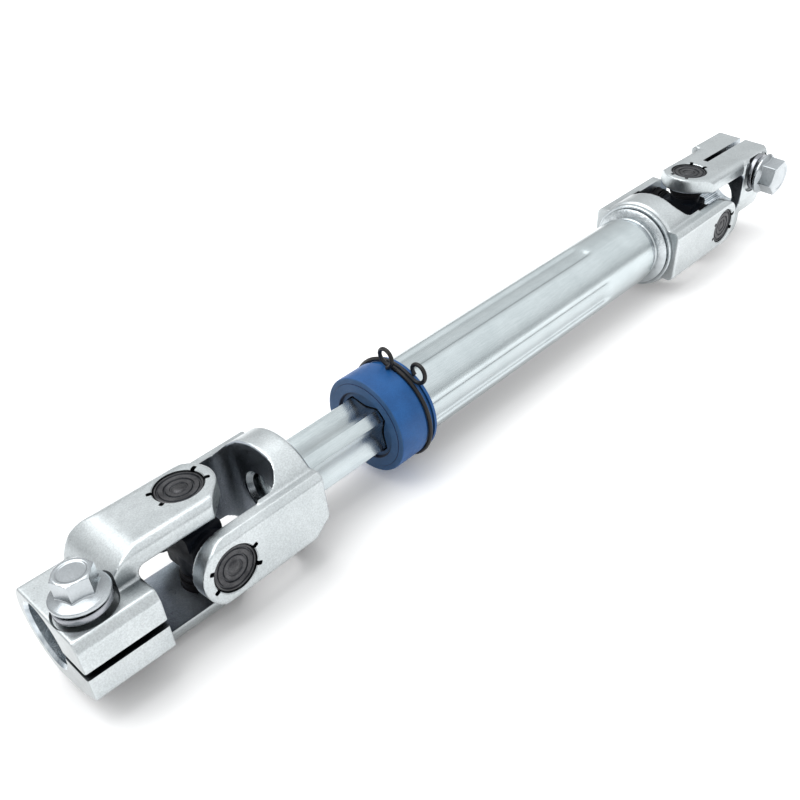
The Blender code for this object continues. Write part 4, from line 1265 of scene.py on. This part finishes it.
@dataclass
class Bearing:
    """A drawn cup with its needles and its seal, at one end of a cross."""

    rim: float = 0.0004
    mouth_edge: float = 0.0002
    steps: tuple[Flat, ...] = (
        (0.0068, 0.0), (0.0066, -0.0004), (0.0062, -0.0004), (0.0060, -0.0001), (0.0047, -0.0001),
        (0.0045, -0.0005), (0.0041, -0.0005), (0.0039, -0.0002), (0.0028, -0.0002), (0.0026, -0.0005),
        (0.0022, -0.0005), (0.0018, -0.0002), (0.0009, 0.0), (0.0, 0.0),
    )
    seal_body: float = 0.93
    seal_shoulder: float = 0.88
    seal_back: float = 0.95
    lip: float = 0.0003
    needle_edge: float = 0.3
    needle_facets: int = 16
    sharp: float = 25.0

    def cup(self) -> Solid:
        """The cup along +Z, with the pressed rings on its outer face.

        Returns:
            The cup.
        """
        out = CUP_OUTER_FACE
        bore = CUP_RADIUS - CUP_WALL
        floor = out - CUP_FLOOR
        edge = self.mouth_edge
        profile = [(CUP_MOUTH, bore), (CUP_MOUTH, CUP_RADIUS - edge), (CUP_MOUTH + edge, CUP_RADIUS)]
        profile += arc((out - self.rim, CUP_RADIUS - self.rim), self.rim, pi / 2, 0, 4)
        profile += [(out + height, radius) for radius, height in self.steps]
        profile += [(floor, 0), (floor, bore)]
        return Solid.turned(profile, Axis.Z, FINE)

    def wall(self, centre: Vector, normal: Vector) -> bool:
        """Whether a face is on the cup's wall, below its outer rim; these faces take the black rubber as
        painted shade.
        """
        return centre.z < CUP_OUTER_FACE - 2 * self.rim

    def seal(self) -> Solid:
        """The lipped rubber ring along +Z.

        Returns:
            The ring.
        """
        low = CROSS_SHOULDER + FIT
        high = low + SEAL_LENGTH
        inner = TRUNNION_RADIUS + FIT
        outer = CUP_RADIUS - FIT
        middle = (low + high) / 2
        body = outer * self.seal_body
        profile = [(low, inner), (low, outer * self.seal_shoulder), (low + self.rim, body)]
        profile += [(middle - self.lip, body), (middle, outer), (middle + self.lip, outer * self.seal_back)]
        profile += [(high, body), (high, inner)]
        return Solid.turned(profile, Axis.Z, FINE)

    def needles(self, ring: RingOfCopies, finish: Material) -> Solid:
        """The needle rollers round the trunnion, along +Z.

        Args:
            ring: the tree that repeats the roller.
            finish: the rollers' material.

        Returns:
            All the rollers as one body.
        """
        low, high = CUP_MOUTH + 2 * FIT, CUP_OUTER_FACE - CUP_FLOOR - 2 * FIT
        gap = CUP_RADIUS - CUP_WALL - TRUNNION_RADIUS
        radius = gap / 2 - FIT / 2
        middle = TRUNNION_RADIUS + gap / 2
        edge = radius * self.needle_edge
        profile = [(low, 0), (low, radius - edge), (low + edge, radius)]
        profile += [(high - edge, radius), (high, radius - edge), (high, 0)]
        roller = Solid.turned(profile, Axis.Z, self.needle_facets)
        return ring.of(roller, int(2 * pi * middle / (2 * radius + FIT / 2)), middle, finish)

    def build(self, prefix: str, place: str, turn: float, where: Matrix, body: str, ring: RingOfCopies,
              cup: Material, rubber: Material, steel: Material) -> None:
        """Sets the cup, its needles and the seal at one end of a cross.

        Args:
            prefix: near or far.
            place: top, bottom, front or back.
            turn: the angle about X from the top to that place.
            where: the joint's frame.
            body: the body that it rides on.
            ring: the tree that repeats the needles.
            cup: the cup's finish.
            rubber: the seal's finish.
            steel: the needles' finish.
        """
        here = where @ Matrix.Rotation(turn, 4, "X")
        # The cup's wall takes the black rubber: painted shade inside the ear.
        sharp, coats = self.sharp, [(rubber, self.wall)]
        self.cup().done(f"{prefix}_bearing_{place}", here, body, [f"{prefix}_cup_{place}"], cup, sharp, coats)
        self.seal().done(f"{prefix}_lip_{place}", here, body, [f"{prefix}_seal_{place}"], rubber, sharp)
        rollers = self.needles(ring, steel)
        rollers.done(f"{prefix}_rollers_{place}", here, body, [f"{prefix}_needles_{place}"], steel, sharp)


@dataclass
class Spider:
    """The cross of a joint."""

    shoulder_radius: float = 0.0068
    core: float = 0.0072
    core_round: float = 0.0015
    end_gap: float = 0.0004
    edge: float = 0.0004

    def _bar(self, axis: Axis, radius: float) -> Solid:
        """One shouldered bar with a trunnion at each end.

        Args:
            axis: the axis that it lies on.
            radius: the radius between its shoulders.

        Returns:
            The bar.
        """
        end = CUP_OUTER_FACE - CUP_FLOOR - self.end_gap
        edge = self.edge
        half = [(CROSS_SHOULDER - edge, radius), (CROSS_SHOULDER, radius - edge)]
        half += [(CROSS_SHOULDER, TRUNNION_RADIUS), (end - edge, TRUNNION_RADIUS)]
        half += [(end, TRUNNION_RADIUS - edge), (end, 0)]
        profile = [(-along, reach) for along, reach in reversed(half)] + half
        return Solid.turned(profile, axis, FINE)

    def build(self, name: str, where: Matrix, body: str, finish: Material) -> None:
        """Forges the cross in a joint's frame.

        Args:
            name: the piece's and, with its prefix, the CAD node's name.
            where: the joint's frame.
            body: the body that it rides on.
            finish: its material.
        """
        core, deep = self.core, self.shoulder_radius - 2 * FIT
        square = filleted([(-core, -core), (core, -core), (core, core), (-core, core)], self.core_round)
        cross = Solid.prism(square, Axis.X, -deep, deep)
        cross.join(self._bar(Axis.Y, self.shoulder_radius))
        cross.join(self._bar(Axis.Z, self.shoulder_radius - FIT))
        cross.done(f"{name}_spider", where, body, [f"{name}_cross"], finish)


@dataclass
class PinchFastener:
    """A flanged hex bolt and its split washer."""

    rim: float = 0.0010
    cone: float = 0.0016
    hex_height: float = 0.00588
    across_flats: float = 0.0106
    flange_radius: float = 0.0086
    hex_chamfer: float = 0.0009
    chamfer_slope: float = 2.4
    dish: Flat = (0.40, 0.37)
    dish_depth: float = 0.0003
    rim_edge: float = 0.0002
    rim_fall: Flat = (0.0003, 0.0004)
    inside: float = 0.0005
    tip_chamfer: float = 0.0010
    voxel: float = 0.00017
    rounds: int = 2
    grip: float = 0.0255
    thread_pitch: float = 0.00125
    thread_depth: float = 0.0005
    thread_length: float = 0.0150
    thread_end: float = 1.2
    washer_radius: float = 0.0083
    washer_round: float = 0.00035
    washer_split: float = radians(14)
    washer_steps: int = 120

    def bolt(self) -> Solid:
        """The bolt along +Z, with its flange's underside at Z = 0.

        Returns:
            The bolt.
        """
        cone = self.rim + self.cone
        top = cone + self.hex_height
        corner = self.across_flats / sqrt(3)
        flat, inside = self.across_flats / 2, self.inside
        up, fall = self.rim_fall
        flange = [(0, 0), (0, self.flange_radius - self.rim_edge), (self.rim_edge, self.flange_radius)]
        flange += [(self.rim, self.flange_radius), (self.rim + up, self.flange_radius - fall)]
        flange += [(cone, flat), (cone + inside, flat - inside), (cone + inside, 0)]
        hexagon = arc((0, 0), corner, 0, 2 * pi * 5 / 6, 5)
        head = Solid.prism(hexagon, Axis.Z, self.rim, top)
        wide = corner + PASS
        crown = [(0, 0), (0, wide), (top - self.hex_chamfer, wide)]
        crown += [(top, wide - self.chamfer_slope * self.hex_chamfer)]
        outer, inner = (self.across_flats * share for share in self.dish)
        crown += [(top, outer), (top - self.dish_depth, inner), (top - self.dish_depth, 0)]
        head.common(Solid.turned(crown, Axis.Z))
        body = Solid.turned(flange, Axis.Z).join(head).soften(self.voxel, self.rounds)
        return body.join(self._shank())

    def _shank(self) -> Solid:
        """The plain shank and its ridged thread.

        Returns:
            The shank, which starts just inside the head.
        """
        level = -self.grip + self.thread_length
        shank = [(self.inside, 0), (self.inside, BOLT_RADIUS), (level, BOLT_RADIUS)]
        while level > -self.grip + self.thread_end * self.thread_pitch:
            shank.append((level - self.thread_pitch / 2, BOLT_RADIUS - self.thread_depth))
            shank.append((level - self.thread_pitch, BOLT_RADIUS))
            level -= self.thread_pitch
        shank += [(-self.grip, BOLT_RADIUS - self.tip_chamfer), (-self.grip, 0)]
        return Solid.turned(shank, Axis.Z, FINE)

    def washer(self) -> Solid:
        """The spring washer along +Z, sprung open by its rise.

        Returns:
            The washer.
        """
        inner, outer, thick = BOLT_RADIUS + FIT, self.washer_radius, WASHER_THICKNESS
        section = filleted([(inner, 0), (outer, 0), (outer, thick), (inner, thick)], self.washer_round)
        rings = []
        for step in range(self.washer_steps + 1):
            share = step / self.washer_steps
            turn = self.washer_split / 2 + (2 * pi - self.washer_split) * share
            low = WASHER_RISE * share
            rings.append([(radius * cos(turn), radius * sin(turn), low + level) for radius, level in section])
        return Solid.swept(rings)

    def build(self, prefix: str, where: Matrix, body: str, seat: Vector, turn: float, twist: float,
              bright: Material, spring: Material) -> None:
        """Sets the washer and the bolt on a seat.

        Args:
            prefix: near or far.
            where: the clamp's frame.
            body: the body that it rides on.
            seat: the middle of the seat.
            turn: the angle about X from +Z to the way that the head faces.
            twist: the turn of the hexagon about its own axis.
            bright: the bolt's finish.
            spring: the washer's finish.
        """
        base = where @ Matrix.Translation(seat) @ Matrix.Rotation(turn, 4, "X")
        height = 2 * FIT + WASHER_THICKNESS + WASHER_RISE
        raised = base @ Matrix.Translation((0, 0, height)) @ Matrix.Rotation(twist, 4, "Z")
        resting = base @ Matrix.Translation((0, 0, FIT))
        self.washer().done(f"{prefix}_washer", resting, body, [f"{prefix}_lock_washer"], spring)
        self.bolt().done(f"{prefix}_bolt", raised, body, [f"{prefix}_pinch_bolt"], bright, sharp=30.0)


@dataclass
class FlutedBar:
    """The sliding shaft, with four lobes and four hollows."""

    end: float = 0.1850
    edge: float = radians(2.2)
    end_edge: float = 0.0004
    lobe_chamfer: float = 0.00022
    hollow_steps: int = 8
    spigot_radius: float = 0.00655
    spigot_recess: float = 0.0034
    spigot_edge: float = 0.0006

    def ring(self, along: float, grow: float = 0.0, fine: bool = True) -> Ring:
        """One loop of points round the bar.

        Args:
            along: the distance along X.
            grow: how far outside the bar it runs.
            fine: whether the lobes' edges are chamfered.

        Returns:
            The points.
        """
        half = BAR_FLUTE_HALF_ANGLE
        land = pi / 2 - 2 * half
        steps = self.hollow_steps
        offsets = [half * (step / steps) for step in range(-steps, steps + 1)]
        if fine:
            offsets += [half + self.edge / 2, half + self.edge]
        offsets += [half + land * share for share in (0.25, 0.5, 0.75)]
        if fine:
            offsets += [half + land - self.edge, half + land - self.edge / 2]
        points = []
        for quarter in range(4):
            for offset in offsets:
                share = min(1.0, abs(offset) / half)
                reach = BAR_RADIUS - BAR_FLUTE_DEPTH * (1 - share**2) + grow
                if fine and abs(abs(offset) - half) < SAME_ANGLE:
                    reach -= self.lobe_chamfer
                turn = FLUTE_PHASE + quarter * pi / 2 + offset
                points.append((along, reach * cos(turn), reach * sin(turn)))
        return points

    def build(self, finish: Material) -> None:
        """Draws the bar with its spigot in the yoke's hub.

        Args:
            finish: its material.
        """
        length = SHAFT_YOKE_LENGTH + FIT
        edge = self.end_edge
        stations = ((length, -edge), (length + edge, 0.0), (self.end - edge, 0.0), (self.end, -edge))
        body = Solid.swept([self.ring(along, grow) for along, grow in stations])
        start = SHAFT_YOKE_THROAT + self.spigot_recess
        chamfer = self.spigot_edge
        spigot = [(start, 0), (start, self.spigot_radius - chamfer), (start + chamfer, self.spigot_radius)]
        spigot += [(length + PASS, self.spigot_radius), (length + PASS, 0)]
        body.join(Solid.turned(spigot, Axis.X))
        body.done("fluted_bar", NEAR_JOINT, "shaft", ["inner_shaft"], finish, sharp=20.0)


@dataclass
class GroovedTube:
    """The outer tube, with four grooves that run out before the weld."""

    groove_depth: float = 0.0013
    rib_height: float = 0.0016
    half_angle: float = radians(20)
    groove_end: float = 0.2000
    runout: float = 0.0060
    runout_steps: int = 8
    end_edge: float = 0.0004
    wall_start: float = 0.58
    hollow_steps: int = 14
    land_steps: int = 12

    def _ring(self, along: float, radius: float, depth: float) -> Ring:
        """One loop of points round the tube, with its four hollows.

        Args:
            along: the distance along X.
            radius: the tube's radius there.
            depth: the hollows' depth there.

        Returns:
            The points.
        """
        half = self.half_angle
        rest = pi / 2 - 2 * half
        hollow, land = self.hollow_steps, self.land_steps
        offsets = [half * step / hollow for step in range(-hollow, hollow + 1)]
        offsets += [half + rest * step / land for step in range(1, land)]
        points = []
        for quarter in range(4):
            for offset in offsets:
                turn = FLUTE_PHASE + quarter * pi / 2 + offset
                wall = min(1.0, max(0.0, (abs(offset) / half - self.wall_start) / (1 - self.wall_start)))
                reach = radius - depth * (1 - wall**2 * (3 - 2 * wall))
                points.append((along, reach * cos(turn), reach * sin(turn)))
        return points

    def build(self, finish: Material) -> None:
        """Draws the tube and presses its grooves.

        Args:
            finish: its material.
        """
        steps, edge, bore = self.runout_steps, self.end_edge, TUBE_BORE_RADIUS
        outside = [(TUBE_START, TUBE_RADIUS - edge, self.groove_depth)]
        outside += [(TUBE_START + edge, TUBE_RADIUS, self.groove_depth)]
        for step in range(steps + 1):
            along = self.groove_end + (step / steps - 0.5) * self.runout
            outside.append((along, TUBE_RADIUS, self.groove_depth * cos(pi / 2 * step / steps) ** 2))
        outside += [(TUBE_END - edge, TUBE_RADIUS, 0.0), (TUBE_END, TUBE_RADIUS - edge, 0.0)]
        inside = [(TUBE_END, bore, 0.0), (self.groove_end + self.runout, bore, 0.0)]
        inside += [(self.groove_end, bore, self.rib_height), (TUBE_START, bore, self.rib_height)]
        rings = [self._ring(*station) for station in outside + inside]
        body = Solid.swept(rings, closed=True)
        body.done("grooved_tube", NEAR_JOINT, "tube", ["outer_tube"], finish, sharp=30.0)


@dataclass
class WeldBead:
    """The stepped bead between the tube and its yoke."""

    neck_radius: float = 0.0136
    bead_radius: float = 0.0172
    step_radius: float = 0.0185
    neck: float = 0.0040
    step: float = 0.0016
    neck_fall: float = 0.0003
    bead_steps: int = 12
    bead_turn: float = pi * 0.62
    bead_lift: float = 0.02
    neck_end: float = 0.0005
    dip: Flat = (0.0001, 0.0008)
    step_edge: Flat = (0.0002, 0.0004)
    step_round: float = 0.0006

    def build(self, finish: Material) -> None:
        """Turns the bead.

        Args:
            finish: its material.
        """
        start = TUBE_END + FIT
        end = JOINT_SPAN - TUBE_YOKE_LENGTH - FIT
        step = end - self.step
        neck = start + self.neck
        rise = self.bead_radius - self.neck_radius
        fall, steps = self.neck_fall, self.bead_steps
        profile = [(start, TUBE_BORE_RADIUS), (start, self.neck_radius)]
        profile += [(start + fall, self.neck_radius - fall), (neck - self.neck_end, self.neck_radius - fall)]
        for part in range(steps + 1):
            swell = min(1.0, sin(self.bead_turn * part / steps) + self.bead_lift)
            profile.append((neck + (step - neck) * part / steps, self.neck_radius + rise * swell))
        profile += [(step + self.dip[0], self.bead_radius - self.dip[1])]
        profile += [(step + self.step_edge[0], self.step_radius - self.step_edge[1])]
        profile += [(step + self.step_round, self.step_radius), (end, self.step_radius)]
        body = Solid.turned(profile + [(end, TUBE_BORE_RADIUS)], Axis.X)
        body.done("weld_bead", NEAR_JOINT, "tube", ["weld_ring"], finish, sharp=30.0)


@dataclass
class WiperCollar:
    """The blue cap on the tube's mouth."""

    edge: float = 0.0006
    mouth_radius: float = 0.0125
    mouth_depth: float = 0.0011
    mouth_edge: float = 0.0003
    lip_gap: float = 0.0005
    step_place: float = 0.0022
    step_line: float = 0.0019
    step_width: float = 0.0002
    hole_facing: float = 0.5
    front_facing: float = 0.7
    arc_steps: int = 5
    seat: float = TUBE_RADIUS + FIT

    def shade_lines(self, centre: Vector, normal: Vector) -> bool:
        """Tells the dark lines of painted shade: the step near the front's edge, the mouth's wall and the
        hole's wall.

        Args:
            centre: the face's middle.
            normal: its normal.

        Returns:
            Whether it is one of them.
        """
        reach = sqrt(centre.y**2 + centre.z**2)
        step = abs(reach - COLLAR_RADIUS + self.step_line) < 2 * self.step_width
        mouth = abs(reach - self.mouth_radius) < self.lip_gap
        hole = reach < BAR_RADIUS + 2 * self.lip_gap and abs(normal.x) < self.hole_facing
        return centre.x < TUBE_START and (step or mouth or hole)

    def shaded_fronts(self, centre: Vector, normal: Vector) -> bool:
        """Whether a face looks to the front, where the blue takes its painted-shade copy."""
        return centre.x < TUBE_START and normal.x < -self.front_facing

    def build(self, bar: FlutedBar, finish: Material, front_shade_finish: Material, rim: Material) -> None:
        """Moulds the collar round the bar.

        Args:
            bar: the bar that the lobed hole follows.
            finish: its material.
            front_shade_finish: the front's material.
            rim: the material of the dark lines of painted shade.
        """
        start, end = COLLAR_START, COLLAR_START + COLLAR_LENGTH
        web = TUBE_START - FIT
        face = start + self.mouth_depth
        mouth, edge = self.mouth_radius, self.mouth_edge
        profile = [(face, 0), (face, mouth - edge), (face - edge, mouth)]
        profile += [(start + edge, mouth), (start, mouth + edge)]
        step = start + self.step_width
        profile += [(start, COLLAR_RADIUS - self.step_place)]
        profile += [(step, COLLAR_RADIUS - self.step_place + self.step_width)]
        profile += [(step, COLLAR_RADIUS - self.edge)]
        profile += arc((step + self.edge, COLLAR_RADIUS - self.edge), self.edge, pi, pi / 2, self.arc_steps)
        reach = 2 * CLIP_WIRE_RADIUS + 2 * FIT
        low, high = CLIP_PLACE - reach, CLIP_PLACE + reach
        profile += [(low, COLLAR_RADIUS), (low, CLIP_SEAT_RADIUS)]
        profile += [(high, CLIP_SEAT_RADIUS), (high, COLLAR_RADIUS)]
        profile += arc((end - self.edge, COLLAR_RADIUS - self.edge), self.edge, pi / 2, 0, self.arc_steps)
        profile += [(end, self.seat), (web, self.seat), (web, 0)]
        body = Solid.turned(profile, Axis.X)
        hole = Solid.swept([bar.ring(along, self.lip_gap, False) for along in (start - PASS, web + PASS)])
        coats = [(rim, self.shade_lines), (front_shade_finish, self.shaded_fronts)]
        body.cut(hole).done("collar", NEAR_JOINT, "tube", ["wiper_collar"], finish, sharp=30.0, coats=coats)


@dataclass
class WireClip:
    """A ring of wire round the collar, with an upright eye at each end."""

    wire: float = CLIP_WIRE_RADIUS
    shallow: float = radians(95)
    steep: float = radians(127)
    eye: float = 0.00328
    eye_share: float = 0.95
    eye_steps: int = 40
    band_steps: int = 150
    side_run: Flat = (0.1, 0.9)
    facets: int = 14

    def route(self) -> list[Vector]:
        """The wire's centre line.

        Returns:
            Its points, from one eye's free end to the other's.
        """
        ring = CLIP_SEAT_RADIUS + self.wire + FIT
        aside = self.wire + FIT / 2
        middle = CLIP_PLACE
        sweep = 2 * pi + self.steep - self.shallow
        low, high = self.side_run
        band = []
        for step in range(1, self.band_steps):
            share = step / self.band_steps
            shift = min(1.0, max(0.0, (share - low) / (high - low))) * 2 - 1
            turn = self.shallow + sweep * share
            band.append(Vector((middle + shift * aside, ring * cos(turn), ring * sin(turn))))
        first = self._eye(self.shallow, -1, ring)
        return first[::-1] + band + self._eye(self.steep, 1, ring)

    def _eye(self, angle: float, way: int, ring: float) -> list[Vector]:
        """One eye's centre line.

        Args:
            angle: where the eye stands round the collar.
            way: 1 or -1, the way that the wire runs into it.
            ring: the radius of the ring's centre line.

        Returns:
            The points, from the ring to the free end.
        """
        outward = Vector((0, cos(angle), sin(angle)))
        along = Vector((0, -sin(angle), cos(angle))) * way
        middle = CLIP_PLACE + way * (self.wire + FIT / 2)
        points = []
        for step in range(self.eye_steps):
            share = step / (self.eye_steps - 1)
            turn = -pi / 2 + 2 * pi * self.eye_share * share
            point = outward * (ring + self.eye * (1 + sin(turn))) + along * self.eye * cos(turn)
            point.x = middle + way * share * (2 * self.wire + FIT)
            points.append(point)
        return points

    def build(self, sweep: Sweep, finish: Material) -> None:
        """Bends the wire.

        Args:
            sweep: the tree that runs the wire along its route.
            finish: its material.
        """
        body = sweep.along(self.route(), self.wire, self.facets, finish)
        body.done("spring_clip", NEAR_JOINT, "tube", ["wire_clip"], finish, sharp=60.0)


@dataclass
class Studio:
    """The floor, the light and the camera."""

    eye: Vector = field(default_factory=lambda: Vector((-0.09962, -0.21108, 0.18437)))
    azimuth: float = radians(-41.97)
    elevation: float = radians(32.9)
    roll: float = radians(-7.78)
    focal_px: float = 954.22
    frame_px: float = 800.0
    sensor: float = 36.0
    floor_reach: float = 6.0
    floor_tone: float = 0.95
    floor_roughness: float = 0.9
    floor_specular: float = 0.1
    glow_middle: Colour = (-0.16, 0.0, 0.0)
    glow: Flat = (0.06, 0.46)
    glow_reach: Flat = (0.10, 0.50)
    sky: tuple[Flat, ...] = ((0.0, 0.60), (0.10, 0.55), (0.30, 0.85), (0.55, 1.0), (1.0, 1.0))
    sky_tint: Colour = (0.985, 1.0, 1.01)
    patches: tuple[tuple[Colour, float, float, float], ...] = (
        ((0.56, 0.62, 0.54), 0.70, 0.96, 0.90),
        ((0.56, -0.54, 0.62), 0.75, 0.96, 1.18),
        ((0.56, 0.06, 0.81), 0.90, 0.985, 1.14),
    )
    lamp_aim: Vector = field(default_factory=lambda: Vector((0, 0, 0.02)))

    def camera(self) -> None:
        """Sets the camera where the photo was taken from."""
        turn, rise = self.azimuth, self.elevation
        back = Vector((sin(turn) * cos(rise), -cos(turn) * cos(rise), sin(rise)))
        right = (-back).cross(Vector((0, 0, 1))).normalized()
        up = right.cross(-back)
        right_rolled = right * cos(self.roll) + up * sin(self.roll)
        up_rolled = up * cos(self.roll) - right * sin(self.roll)
        data = bpy.data.cameras.new("camera")
        data.sensor_width = self.sensor
        data.lens = self.focal_px * self.sensor / self.frame_px
        data.clip_start, data.clip_end = 0.01, 10.0
        camera = bpy.data.objects.new("camera", data)
        turned = Matrix((right_rolled, up_rolled, back)).transposed().to_4x4()
        camera.matrix_world = Matrix.Translation(self.eye + NEAR_CENTRE) @ turned
        bpy.context.scene.collection.objects.link(camera)
        bpy.context.scene.camera = camera

    def floor(self) -> None:
        """A wide pale floor, which glows a little more away from the near joint."""
        mesh = bpy.data.meshes.new("floor")
        reach = self.floor_reach
        corners = [(x * reach, y * reach, 0) for x, y in ((-1, -1), (1, -1), (1, 1), (-1, 1))]
        mesh.from_pydata(corners, [], [(0, 1, 2, 3)])
        thing = bpy.data.objects.new("floor", mesh)
        bpy.context.scene.collection.objects.link(thing)
        material = bpy.data.materials.new("floor")
        tools = NodeTools(material)
        output = tools.add("ShaderNodeOutputMaterial")
        shader = tools.add("ShaderNodeBsdfPrincipled")
        shader.inputs["Base Color"].default_value = (self.floor_tone, self.floor_tone, self.floor_tone, 1.0)
        shader.inputs["Roughness"].default_value = self.floor_roughness
        shader.inputs["Specular IOR Level"].default_value = self.floor_specular
        place = tools.add("ShaderNodeTexCoord").outputs["Object"]
        away = tools.add("ShaderNodeVectorMath", operation="DISTANCE")
        away.inputs[1].default_value = self.glow_middle
        tools.link(place, away.inputs[0])
        # Painted light: the emission lifts the floor's cast shadows, more the farther they lie from the near
        # joint.
        glow = tools.spread(away.outputs["Value"], *self.glow, *self.glow_reach)
        shader.inputs["Emission Color"].default_value = (1.0, 1.0, 1.0, 1.0)
        tools.link(glow, shader.inputs["Emission Strength"])
        tools.link(shader.outputs["BSDF"], output.inputs["Surface"])
        mesh.materials.append(material)

    def world(self) -> None:
        """A bright sky with a darker band and three soft patches, which the metal mirrors."""
        world = bpy.data.worlds.new("studio")
        bpy.context.scene.world = world
        world.use_nodes = True
        tree = world.node_tree
        tree.nodes.clear()
        add, link = tree.nodes.new, tree.links.new
        output, sky = add("ShaderNodeOutputWorld"), add("ShaderNodeBackground")
        place, split = add("ShaderNodeTexCoord"), add("ShaderNodeSeparateXYZ")
        ramp, shade = add("ShaderNodeValToRGB"), add("ShaderNodeVectorMath")
        link(place.outputs["Generated"], split.inputs["Vector"])
        link(split.outputs["Z"], ramp.inputs["Fac"])
        stops = self.sky
        ramp.color_ramp.elements[0].position = stops[0][0]
        ramp.color_ramp.elements[1].position = stops[-1][0]
        for position, _ in stops[1:-1]:
            ramp.color_ramp.elements.new(position)
        for element, (_, value) in zip(ramp.color_ramp.elements, stops):
            element.color = (*(value * tint for tint in self.sky_tint), 1.0)
        shade.operation = "SCALE"
        link(ramp.outputs["Color"], shade.inputs[0])
        factor = None
        for way, start, end, gain in self.patches:
            towards = add("ShaderNodeVectorMath")
            spread = add("ShaderNodeMapRange")
            join = add("ShaderNodeMath")
            towards.operation = "DOT_PRODUCT"
            spread.interpolation_type = "SMOOTHSTEP"
            join.operation = "MULTIPLY"
            towards.inputs[1].default_value = way
            for name, number in (("From Min", start), ("From Max", end), ("To Min", 1.0), ("To Max", gain)):
                spread.inputs[name].default_value = number
            link(place.outputs["Generated"], towards.inputs[0])
            link(towards.outputs["Value"], spread.inputs["Value"])
            link(spread.outputs["Result"], join.inputs[0])
            join.inputs[1].default_value = 1.0
            if factor:
                link(factor, join.inputs[1])
            factor = join.outputs["Value"]
        link(factor, shade.inputs["Scale"])
        link(shade.outputs["Vector"], sky.inputs["Color"])
        sky.inputs["Strength"].default_value = 1.0
        link(sky.outputs["Background"], output.inputs["Surface"])

    def lamp(self, name: str, place: Vector, aim: Vector, size: Flat, power: float) -> None:
        """One soft box.

        Args:
            name: its name.
            place: where it hangs.
            aim: what it points at.
            size: its width and height.
            power: its power in watts.
        """
        data = bpy.data.lights.new(name, "AREA")
        data.shape = "RECTANGLE"
        data.size, data.size_y = size
        data.energy = power
        lamp = bpy.data.objects.new(name, data)
        lamp.location = place
        lamp.rotation_mode = "QUATERNION"
        lamp.rotation_quaternion = (place - aim).to_track_quat("Z", "Y")
        bpy.context.scene.collection.objects.link(lamp)

    def light(self) -> None:
        """Hangs the soft boxes: a wide key overhead, and a low fill in front."""
        self.lamp("key", Vector((-0.28, 0.30, 1.05)), self.lamp_aim, size=(1.1, 1.1), power=8.5)
        self.lamp("fill", Vector((-0.35, -0.85, 0.60)), self.lamp_aim, size=(0.9, 0.5), power=0.8)

    def build(self) -> None:
        """Sets up the whole studio."""
        self.camera()
        self.floor()
        self.world()
        self.light()
        scene = bpy.context.scene
        scene.view_settings.view_transform = "Standard"
        scene.render.film_transparent = False
        scene.cycles.caustics_reflective = False


def dress(names: Iterable[str], finish: Material) -> None:
    """Gives CAD nodes that keep their own mesh their finish.

    Args:
        names: the nodes.
        finish: their material.
    """
    for name in names:
        thing = frame["nodes"][name]
        for slot in thing.material_slots:
            slot.material = finish
        log.info("%s: keeps its CAD mesh", name)


def main() -> None:
    """Builds the pieces in order, then the studio."""
    logging.basicConfig(level=logging.INFO, format="%(message)s")
    looks = Finishes()
    made = {name: getattr(looks, name).build() for name in Finishes.__dataclass_fields__}
    sweep, ring = Sweep(), RingOfCopies()

    near_yoke, far_yoke = NearClampYoke(), FarClampYoke()
    for yoke in (near_yoke, far_yoke):
        yoke.build(made["forged"], made["bored"], made["sawn"], made["shade"])
    ShaftYoke().build(made["forged"], made["bored"], made["shade"])
    TubeYoke().build(made["forged"], made["shade"])

    bearing = Bearing()
    surfaces = made["cup"], made["rubber"], made["bored"]
    for place, turn in (("top", 0.0), ("bottom", pi)):
        bearing.build("near", place, turn, NEAR_CLAMP, "near_clamp", ring, *surfaces)
        bearing.build("far", place, turn, FAR_CLAMP, "far_clamp", ring, *surfaces)
    for place, turn in (("front", pi / 2), ("back", -pi / 2)):
        bearing.build("near", place, turn, NEAR_JOINT, "shaft", ring, *surfaces)
        bearing.build("far", place, turn, FAR_JOINT, "tube", ring, *surfaces)
    spider = Spider()
    spider.build("near", NEAR_JOINT, "near_cross", made["core"])
    spider.build("far", FAR_JOINT, "far_cross", made["core"])

    near_bolt = PinchFastener()
    far_bolt = PinchFastener(across_flats=0.0142, flange_radius=far_yoke.flange_radius)
    surfaces = made["fastener"], made["spring"]
    seat = Vector((-near_yoke.bolt_place, -BOLT_OFFSET, near_yoke.flat - near_yoke.seat_depth))
    near_bolt.build("near", NEAR_CLAMP, "near_clamp", seat, 0.0, radians(49), *surfaces)
    level = BOLT_OFFSET + far_yoke.bolt_rise
    seat = Vector((far_yoke.bolt_place, -far_yoke.head_side + far_yoke.seat_depth, level))
    far_bolt.build("far", FAR_CLAMP, "far_clamp", seat, pi / 2, radians(12), *surfaces)

    bar = FlutedBar()
    bar.build(made["shaft"])
    GroovedTube().build(made["shaft"])
    WeldBead().build(made["weld"])
    WiperCollar().build(bar, made["blue"], made["face"], made["rim"])
    WireClip().build(sweep, made["wire"])

    dress(["nylon_sleeve"], made["nylon"])
    Studio().build()


if __name__ == "__main__":
    main()
